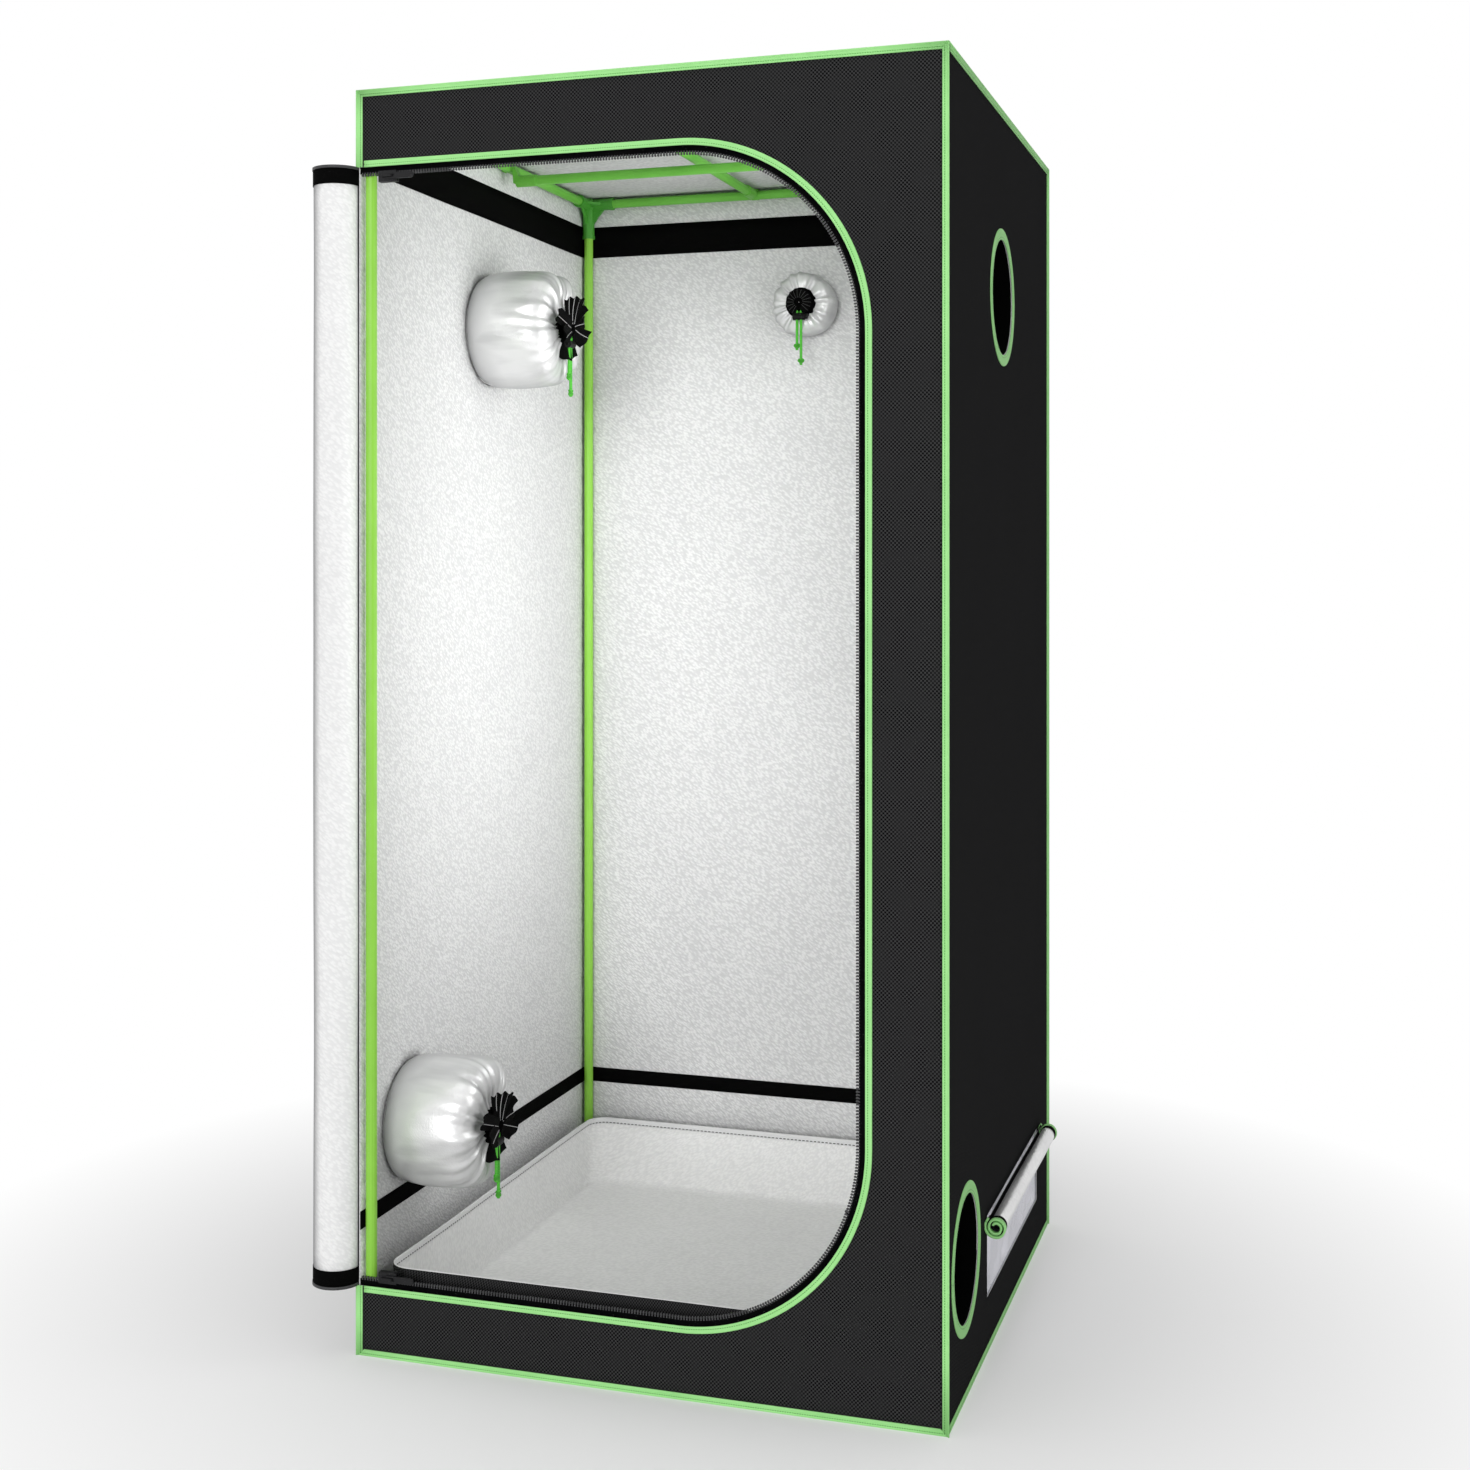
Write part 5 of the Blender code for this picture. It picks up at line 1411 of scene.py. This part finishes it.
def petal_point(petal, s, t):
    """A place on a petal, from its root (s = 0) to its tip, and from side to side (t = -1 to 1)"""
    angle, reach, root_width, tip_width, folds, lift, twist = petal
    width = root_width + (tip_width - root_width) * s ** 0.8
    tip = reach * (1 - 0.10 * t * t - 0.05 * math.sin(folds * math.pi * t + 0.6))
    wave = math.cos(folds * math.pi * t) * tip_width * (0.02 + 0.08 * s)
    along = Vector((math.cos(angle), math.sin(angle), 0))
    side = Vector((-math.sin(angle) * math.cos(twist), math.cos(angle) * math.cos(twist), math.sin(twist)))
    place = along * (NECK_RADIUS * 0.7 + tip * s) + side * (width * t) + along.cross(side) * wave
    return place + Vector((0, 0, lift * s * s))


def petal_mesh(petal, place):
    """Points, UVs and faces of one petal, in the tent's space"""
    points, uvs = [], []
    for i in range(PETAL_ROWS + 1):
        for j in range(PETAL_COLUMNS + 1):
            s, t = i / PETAL_ROWS, 2 * j / PETAL_COLUMNS - 1
            points.append(place @ petal_point(petal, s, t))
            uvs.append((t * petal[3], s * petal[1]))
    return points, uvs, [(a, d, c, b) for a, b, c, d in grid_faces(PETAL_ROWS, PETAL_COLUMNS)]


# %% Frills
DEGREE = math.pi / 180
# Each petal: direction, reach, half width at the root and at the tip, folds, lift and twist
FRONT_PETALS = (
    (97 * DEGREE, 0.043, 0.005, 0.017, 3, 0.006, -55 * DEGREE),
    (66 * DEGREE, 0.036, 0.005, 0.012, 1.5, 0.009, -55 * DEGREE),
    (160 * DEGREE, 0.048, 0.009, 0.013, 1.5, -0.004, -12 * DEGREE),
    (14 * DEGREE, 0.027, 0.010, 0.016, 1.5, 0.006, 12 * DEGREE),
    (-24 * DEGREE, 0.031, 0.010, 0.017, 1.5, 0.010, 25 * DEGREE),
    (-158 * DEGREE, 0.031, 0.010, 0.017, 1.5, 0.002, 0),
)
BACK_PETALS = (
    (-72 * DEGREE, 0.042, 0.007, 0.012, 1, 0.003, 30 * DEGREE),
    (-105 * DEGREE, 0.046, 0.007, 0.014, 1, 0.003, 30 * DEGREE),
)
FRONT_LIFT, BACK_LIFT = 0.0050, -0.0046
WIDE_RUFFLE, NARROW_RUFFLE = 0.017, 0.015
PETAL_CLOTH = 0.0007
LINE_RADIUS, LINE_LIFT, LINE_STEPS = 0.0004, 0.0006, 12
RUFFLE_TURNS = [(20 * i - 48) * DEGREE for i in range(15)]


def ruffle_petals(reach):
    """Short petals side by side round the neck, which leave the way free for the lock below"""
    return [(angle, reach, 0.0045, 0.0085, 1, -0.0035, 0) for angle in RUFFLE_TURNS]


def make_frill(port):
    """The black petals past a sleeve's neck, and the painted highlight lines along their folds"""
    parts, lines = [], []
    wide = port["hole"] > WIDE_HOLE
    rows = [(ruffle_petals(WIDE_RUFFLE if wide else NARROW_RUFFLE), FRONT_LIFT * 0.85)]
    if wide:
        rows += [(FRONT_PETALS, FRONT_LIFT), (BACK_PETALS, BACK_LIFT)]
    above = Vector((0, 0, LINE_LIFT))
    for petals, lift in rows:
        place = port["frame"] @ Matrix.Translation((0, 0, port["neck"] + lift))
        for petal in petals:
            parts.append(petal_mesh(petal, place))
            if lift == FRONT_LIFT or not wide:
                # Painted highlights: thin pale or grey lines laid along the folds of the front petals and of
                # the narrow ruffle
                for t in (-0.5, 0.05, 0.55) if petal[4] > 2 else (0.25,):
                    line = [petal_point(petal, s / LINE_STEPS, t) for s in range(LINE_STEPS + 1)]
                    lines.append(sweep_round([place @ (point + above) for point in line], LINE_RADIUS, 6))
    frill = add_piece("frill_" + port["name"], merge(parts), [petal_finish])
    thicken(frill, PETAL_CLOTH, offset=0)
    finish = pale_highlight_finish if wide else grey_highlight_finish
    return [frill, add_piece("frill_edge_" + port["name"], merge(lines), [finish])]


def sweep_round(line, radius, sides):
    """Points, UVs and faces of a thin round strand along a line, here a painted highlight on a fold"""
    stations = []
    for i, place in enumerate(line):
        along = (line[min(i + 1, len(line) - 1)] - line[max(i - 1, 0)]).normalized()
        across = along.orthogonal().normalized()
        stations.append((place, across, along.cross(across)))
    angles = [2 * math.pi * k / sides for k in range(sides)]
    return sweep(stations, [(radius * math.cos(a), radius * math.sin(a)) for a in angles])


# The two finishes below colour the painted highlight lines: pale on the wide sleeves, dark grey on the
# narrow one
thread = {"threads": 900.0, "depth": 0.0001}
pale_highlight_finish = make_ribbed("frill_edge", (0.62, 0.62, 0.63, 1), (0.5, 0.5, 0.51, 1), 0.45, **thread)
grey_highlight_finish = make_ribbed("frill_fold", grey(0.045), grey(0.03), 0.5, **thread)
for port in ports:
    frills = make_frill(port)
print("finishes", pale_highlight_finish.name, grey_highlight_finish.name)


# %% [markdown]
# ## Rolls
# The door and the vent's flap are cloths rolled up on themselves. Seen from its end a roll is a spiral,
# whose radius shrinks by one pitch in each turn. The distance walked along it is known at each step, so
# the cloth's own shape, round at the door's two corners, can be given row by row.

# %% Helper: a rolled cloth
ROLL_STEPS = 56


def roll_up(place, radius, pitch, used_length, ends, first_turn, rows, offset=0.0, dent=0.0, seed=0.0):
    """Points, UVs and faces of a cloth rolled inwards; place turns the roll's own frame into the tent's"""
    sweep_angle = (radius - math.sqrt(radius**2 - pitch * used_length / math.pi)) * 2 * math.pi / pitch
    steps = math.ceil(sweep_angle / (2 * math.pi) * ROLL_STEPS)
    points, uvs = [], []
    for i in range(steps + 1):
        turn = sweep_angle * i / steps
        used = radius * turn - pitch * turn**2 / (4 * math.pi)
        low, high = ends(used)
        for j in range(rows + 1):
            height = low + (high - low) * j / rows
            angle = first_turn - turn
            soft = noise.noise(Vector((math.cos(angle), math.sin(angle), height * 4 + seed)))
            reach = radius - pitch * turn / (2 * math.pi) + offset + dent * soft
            points.append(place @ Vector((reach * math.cos(angle), reach * math.sin(angle), height)))
            uvs.append((used, height))
    return points, uvs, grid_faces(steps, rows)


# %% Rolled door
SEAM_GAP = 0.0003
DOOR_ROLL_RADIUS = 0.035
DOOR_ROLL_PITCH = 0.0036
DOOR_ROLL_SETBACK = 0.006
DOOR_ROLL_SEED = 5.0
DOOR_BODY = "rolled_door"
DOOR_WIDTH = DOOR_RIGHT + COVER_X
DOOR_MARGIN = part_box("door_roll")[0].z - DOOR_SILL


def door_ends(used):
    """Lowest and highest edge of the door at a distance along it"""
    past = min(max(used - DOOR_WIDTH + DOOR_CORNER, 0), DOOR_CORNER)
    inset = DOOR_MARGIN + DOOR_CORNER - math.sqrt(DOOR_CORNER**2 - past**2)
    return DOOR_SILL + inset, DOOR_HEAD - inset


roll_middle = Matrix.Translation((-HALF_X - SEAM_GAP - DOOR_ROLL_RADIUS, -HALF_Y + DOOR_ROLL_SETBACK, 0))


def door_strip(length, ends, rows, offset=0.0, dent=0.0):
    """A strip of the rolled door, as long as it is given, between the edges that ends tells"""
    size = roll_middle, DOOR_ROLL_RADIUS, DOOR_ROLL_PITCH
    return roll_up(*size, length, ends, 0.0, rows, offset, dent, DOOR_ROLL_SEED)


door_shape = door_strip(DOOR_WIDTH, door_ends, 40, dent=0.0012)
door = add_piece("rolled_door_cloth", door_shape, [roll_finish, shell_finish], body=DOOR_BODY)
thicken(door, CLOTH, inner_finish=1)
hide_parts("door_roll")

# %% Bands and teeth at the door's two ends
def band_ends(top, near, far):
    """Edges of a band that lies between two distances from the door's end"""

    def ends(used):
        """The band's own two edges at a distance along the door"""
        low, high = door_ends(used)
        return (high - far, high - near) if top else (low + near, low + far)

    return ends


BAND_LENGTH = 0.36
# Where the bands and the teeth start and end, as distances from the door's end
BAND_FROM, BAND_TO = -0.003, 0.020
TEETH_FROM, TEETH_TO = -0.0062, -0.0022


def door_bands_shape(near, far, rows, offset):
    """The same band at both ends of the rolled door"""
    return merge([door_strip(BAND_LENGTH, band_ends(top, near, far), rows, offset) for top in (False, True)])


bands_shape = door_bands_shape(BAND_FROM, BAND_TO, 4, 0.0009)
door_bands = add_piece("rolled_door_bands", bands_shape, [band_finish], body=DOOR_BODY)
thicken(door_bands, 0.0008)
teeth_shape = door_bands_shape(TEETH_FROM, TEETH_TO, 2, 0.0006)
door_bead = add_piece("rolled_door_zipper", teeth_shape, [zip_teeth_finish], body=DOOR_BODY)
thicken(door_bead, 0.0022, offset=0)
print("door cut", round(DOOR_WIDTH, 3), round(DOOR_HEAD - DOOR_SILL, 3))

# %% Rolled vent flap
flap_low, flap_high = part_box("vent_flap_roll")
FLAP_RADIUS = 0.016
FLAP_PITCH = 0.0052
FLAP_HEIGHT = 0.137
FLAP_DROP = 0.009
flap_length = flap_high.y - flap_low.y
flap_frame = Matrix(((1, 0, 0), (0, 0, -1), (0, 1, 0))).transposed().to_4x4()
flap_place = Vector((COVER_X + SEAM_GAP + FLAP_RADIUS, flap_low.y, net_high.z - VENT_HEM - FLAP_DROP))
flap_middle = Matrix.Translation(flap_place) @ flap_frame
FLAP_START = 1.25 * math.pi


def flap_strip(near, far, rows, offset=0.0, dent=0.0):
    """A strip of the rolled flap between two distances from its near end"""
    size = flap_middle, FLAP_RADIUS, FLAP_PITCH, FLAP_HEIGHT
    return roll_up(*size, lambda used: (near, far), FLAP_START, rows, offset, dent)


def flap_ends(near, far, rows, offset=0.0, dent=0.0):
    """The same strip at both ends of the rolled flap"""
    ends = (near, far), (flap_length - far, flap_length - near)
    return merge([flap_strip(*end, rows, offset, dent) for end in ends])


FLAP_EDGE = 0.004
FLAP_BODY = "rolled_vent_flap"
flap_shape = flap_strip(FLAP_EDGE, flap_length - FLAP_EDGE, 30, -0.0004, 0.0008)
flap = add_piece("rolled_flap_cloth", flap_shape, [flap_finish, shell_finish], body=FLAP_BODY)
thicken(flap, 0.0009, inner_finish=1)
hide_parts("vent_flap_roll")
bands_shape = flap_ends(FLAP_EDGE, 0.017, 2, offset=0.0004)
flap_bands = add_piece("rolled_flap_bands", bands_shape, [band_finish], body=FLAP_BODY)
thicken(flap_bands, 0.0007)
binding_shape = flap_ends(-0.002, 0.005, 3, dent=0.0006)
flap_binding = add_piece("rolled_flap_binding", binding_shape, [tape_finish], body=FLAP_BODY)
thicken(flap_binding, 0.0032, offset=0)
print("flap cut", round(flap_length, 3), FLAP_HEIGHT)

# %% [markdown]
# ## The vent's net
# The net is sewn behind the window with a little spare cloth, so it falls in shallow slanting folds.

# %% Net behind the window
NET_COLUMNS, NET_ROWS = 90, 24
NET_EDGE = 0.03
NET_GAP = 0.0004


def make_net_sheet():
    """A fine sheet behind the vent's window, in shallow folds"""
    size_y, size_z = net_high.y - net_low.y, net_high.z - net_low.z
    points, uvs = [], []
    for i in range(NET_ROWS + 1):
        for j in range(NET_COLUMNS + 1):
            u, v = size_y * j / NET_COLUMNS, size_z * i / NET_ROWS
            held = min(u, size_y - u, v, size_z - v) / NET_EDGE
            free = ease(held, 0.25, 1)
            slant = noise.noise(Vector((u * 16 - v * 9, v * 3, 7)))
            fold = abs(noise.noise(Vector((u * 30 - v * 22, v * 6, 2))))
            depth = free * (0.0042 + 0.0060 * slant - 0.0070 * fold)
            points.append(Vector((net_high.x - NET_GAP - max(depth, 0), net_low.y + u, net_low.z + v)))
            uvs.append((u, v))
    shape = points, uvs, grid_faces(NET_ROWS, NET_COLUMNS)
    net = add_piece("vent_net_cloth", shape, [net_finish])
    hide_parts("vent_net")
    return net


vent_net = make_net_sheet()
print("net", len(vent_net.data.polygons), "faces")


# %% [markdown]
# ## The floor tray
# The tray is a loose liner that catches spilt water: one sheet with its sides turned up and its rim
# folded over in a pale hem. Its inside is silver and its outside black. On the right its rim is pressed
# down by the sleeve above it.

# %% Helper: the tray's outline
tray_low, tray_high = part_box("floor_tray")
TRAY_CORNER = 0.034
TRAY_STEP = 0.012
TRAY_LIP_DIP = 0.005
TRAY_CLOTH = 0.0012
LIP_SET_IN = 0.001
LIP_WAVE = 0.0013


def tray_outline(inset):
    """Points round the tray at a distance inside its outer face"""
    half_x, half_y = tray_high.x - inset, tray_high.y - inset
    corner = TRAY_CORNER - inset
    points = []
    for turn, sx, sy in ((0, 1, 1), (1, -1, 1), (2, -1, -1), (3, 1, -1)):
        for i in range(9):
            angle = (turn + i / 8) * math.pi / 2
            x, y = sx * (half_x - corner), sy * (half_y - corner)
            points.append(Vector((x + corner * math.cos(angle), y + corner * math.sin(angle))))
    filled = []
    for a, b in zip(points, points[1:] + points[:1]):
        count = max(1, round((b - a).length / TRAY_STEP))
        filled += [a.lerp(b, i / count) for i in range(count)]
    return filled


low_right = next(port for port in ports if port["name"] == "lower_right")


def lip_height(x, y):
    """Height of the rim, which dips under the lower right sleeve"""
    reach = low_right["hole"] + SLEEVE_BULGE + TRAY_LIP_DIP
    off = y - low_right["middle"].y
    if x < 0 or abs(off) >= reach:
        return tray_high.z
    return min(tray_high.z, low_right["middle"].z - math.sqrt(reach**2 - off**2))


def lip_place(p, share):
    """A place on the lip's outer face, at a share of its height, with the lip's soft waves"""
    bottom = tray_low.z + TRAY_CLOTH
    away = Vector((p.x, p.y)).normalized()
    wave = LIP_WAVE * ease(share, 0.1, 0.9) * noise.noise(Vector((p.x * 7, p.y * 7, share * 1.5)))
    sunk = LIP_SET_IN + wave
    height = bottom + (lip_height(p.x, p.y) - bottom) * share
    return Vector((p.x - away.x * sunk, p.y - away.y * sunk, height))


# %% Floor tray
LIP_ROWS = 9
FLOOR_RINGS = 26
FLOOR_WAVE = 0.0016


def make_tray():
    """A sheet with its sides turned up: rings of the floor, then rows of the lip"""
    outline = tray_outline(0.0)
    count = len(outline)
    points, uvs, faces = [Vector((0, 0, tray_low.z + TRAY_CLOTH))], [(0.0, 0.0)], []
    for ring in range(1, FLOOR_RINGS + 1):
        share = ring / FLOOR_RINGS
        for p in outline:
            x, y = p.x * share, p.y * share
            rise = FLOOR_WAVE * (1 - ease(share, 0.8, 0.97)) * (0.5 + noise.noise(Vector((x * 5, y * 5, 4))))
            points.append(Vector((x, y, tray_low.z + TRAY_CLOTH + max(rise, 0))))
            uvs.append((x, y))
    for row in range(1, LIP_ROWS + 1):
        for p in outline:
            place = lip_place(p, row / LIP_ROWS)
            away = Vector((p.x, p.y)).normalized() * place.z
            points.append(place)
            uvs.append((p.x + away.x, p.y + away.y))
    faces += [(0, 1 + j, 1 + (j + 1) % count) for j in range(count)]
    for ring in range(FLOOR_RINGS + LIP_ROWS - 1):
        a = 1 + ring * count
        for j in range(count):
            k = (j + 1) % count
            faces.append((a + j, a + count + j, a + count + k, a + k))
    tray = add_piece("tray_cloth", (points, uvs, faces), [tray_finish, shell_finish])
    thicken(tray, TRAY_CLOTH, inner_finish=1)
    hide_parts("floor_tray")
    return tray


tray = make_tray()

# %% Hem round the tray's rim
HEM_WIDTH = 0.010
HEM_THICK = 0.0011
HEM_RISE, HEM_TOP = 0.0006, 0.0010


def make_hem():
    """A pale tape folded over the rim"""
    stations = []
    outline = [lip_place(p, 1) for p in tray_outline(0.0)]
    for i, place in enumerate(outline):
        after, before = outline[(i + 1) % len(outline)], outline[i - 1]
        along = (after - before).normalized()
        stations.append((place, Vector((along.y, -along.x, 0)).normalized(), UP))
    outer, inner = HEM_THICK, -TRAY_CLOTH - HEM_THICK
    profile = [(outer * 0.8, -HEM_WIDTH), (outer, -HEM_WIDTH * 0.9), (outer * 0.95, -HEM_WIDTH * 0.15)]
    profile += [(outer * 0.5, HEM_RISE), ((outer + inner) / 2, HEM_TOP), (inner * 0.8, HEM_RISE)]
    profile += [(inner * 0.98, -HEM_WIDTH * 0.15), (inner, -HEM_WIDTH * 0.9), (inner * 0.9, -HEM_WIDTH)]
    shape = sweep(stations, profile, closed_path=True)
    return add_piece("tray_hem", shape, [hem_finish])


hem = make_hem()


# %% [markdown]
# ## Studio
# The floor is pale and plain, and so is the world. The world's light on the object is softer than the
# white that the camera sees, which the Light Path node tells apart. Three wide lamps do the rest: one far
# in front, one above, and one inside the tent, out of sight behind the front panel.

# %% Floor
def make_stage():
    """A wide pale floor that fades into the white of the world"""
    bpy.ops.mesh.primitive_plane_add(size=14, location=(0, 0, 0))
    ground = bpy.context.object
    ground.name = "studio_floor"
    made, tree, shader = new_material("studio_floor", 0.8, specular=0.2)
    shader["Base Color"].default_value = grey(0.86)
    place = new_node(tree, "ShaderNodeTexCoord").outputs["Object"]
    length = new_node(tree, "ShaderNodeVectorMath", {0: place}, operation="LENGTH").outputs["Value"]
    fade = map_range(tree, length, 0.45, 1.4, new_low=0.3)
    path = new_node(tree, "ShaderNodeLightPath").outputs
    seen = math_node(tree, "MAXIMUM", path["Is Camera Ray"], path["Is Glossy Ray"])
    share = math_node(tree, "MULTIPLY", fade, seen)
    white = new_node(tree, "ShaderNodeEmission", {0: grey(1), 1: 1.0}).outputs[0]
    plain = tree.nodes["Principled BSDF"].outputs[0]
    mixed = new_node(tree, "ShaderNodeMixShader", {0: share, 1: plain, 2: white})
    tree.links.new(mixed.outputs[0], tree.nodes["Material Output"].inputs[0])
    ground.data.materials.append(made)
    return ground


print("floor:", make_stage().name)

# %% World and lamps
WORLD_LIGHT = 0.42
world = bpy.data.worlds.new("studio")
world.use_nodes = True
bpy.context.scene.world = world
tree = world.node_tree
path = new_node(tree, "ShaderNodeLightPath").outputs
seen = math_node(tree, "MAXIMUM", path["Is Camera Ray"], path["Is Glossy Ray"])
seen = math_node(tree, "MAXIMUM", seen, path["Is Transmission Ray"])
strength = map_range(tree, seen, 0.0, 1.0, WORLD_LIGHT, 1.0)
tree.links.new(strength, tree.nodes["Background"].inputs["Strength"])
tree.nodes["Background"].inputs["Color"].default_value = grey(1)


def add_lamp(name, place, target, size, power, spread=180):
    """A wide soft lamp that faces a target and shines within a spread in degrees"""
    data = bpy.data.lights.new(name, "AREA")
    data.shape = "RECTANGLE"
    data.size, data.size_y = size
    data.energy = power
    data.spread = math.radians(spread)
    lamp = bpy.data.objects.new(name, data)
    lamp.location = place
    lamp.rotation_euler = (Vector(target) - Vector(place)).to_track_quat("-Z", "Y").to_euler()
    lamp.visible_camera = False
    bpy.context.scene.collection.objects.link(lamp)
    return lamp


lamps = [
    add_lamp("front_lamp", (0.4, -8.8, 2.2), (0, 0, 0.9), (3.2, 3.6), 340),
    add_lamp("inner_lamp", (0.28, -0.06, 1.14), (-1, -0.06, 1.14), (0.5, 1.22), 3.8, spread=130),
    add_lamp("top_lamp", (0.2, -0.6, 4.2), (0, 0, 1), (2.4, 2.4), 18),
]
print("lamps:", len(lamps))
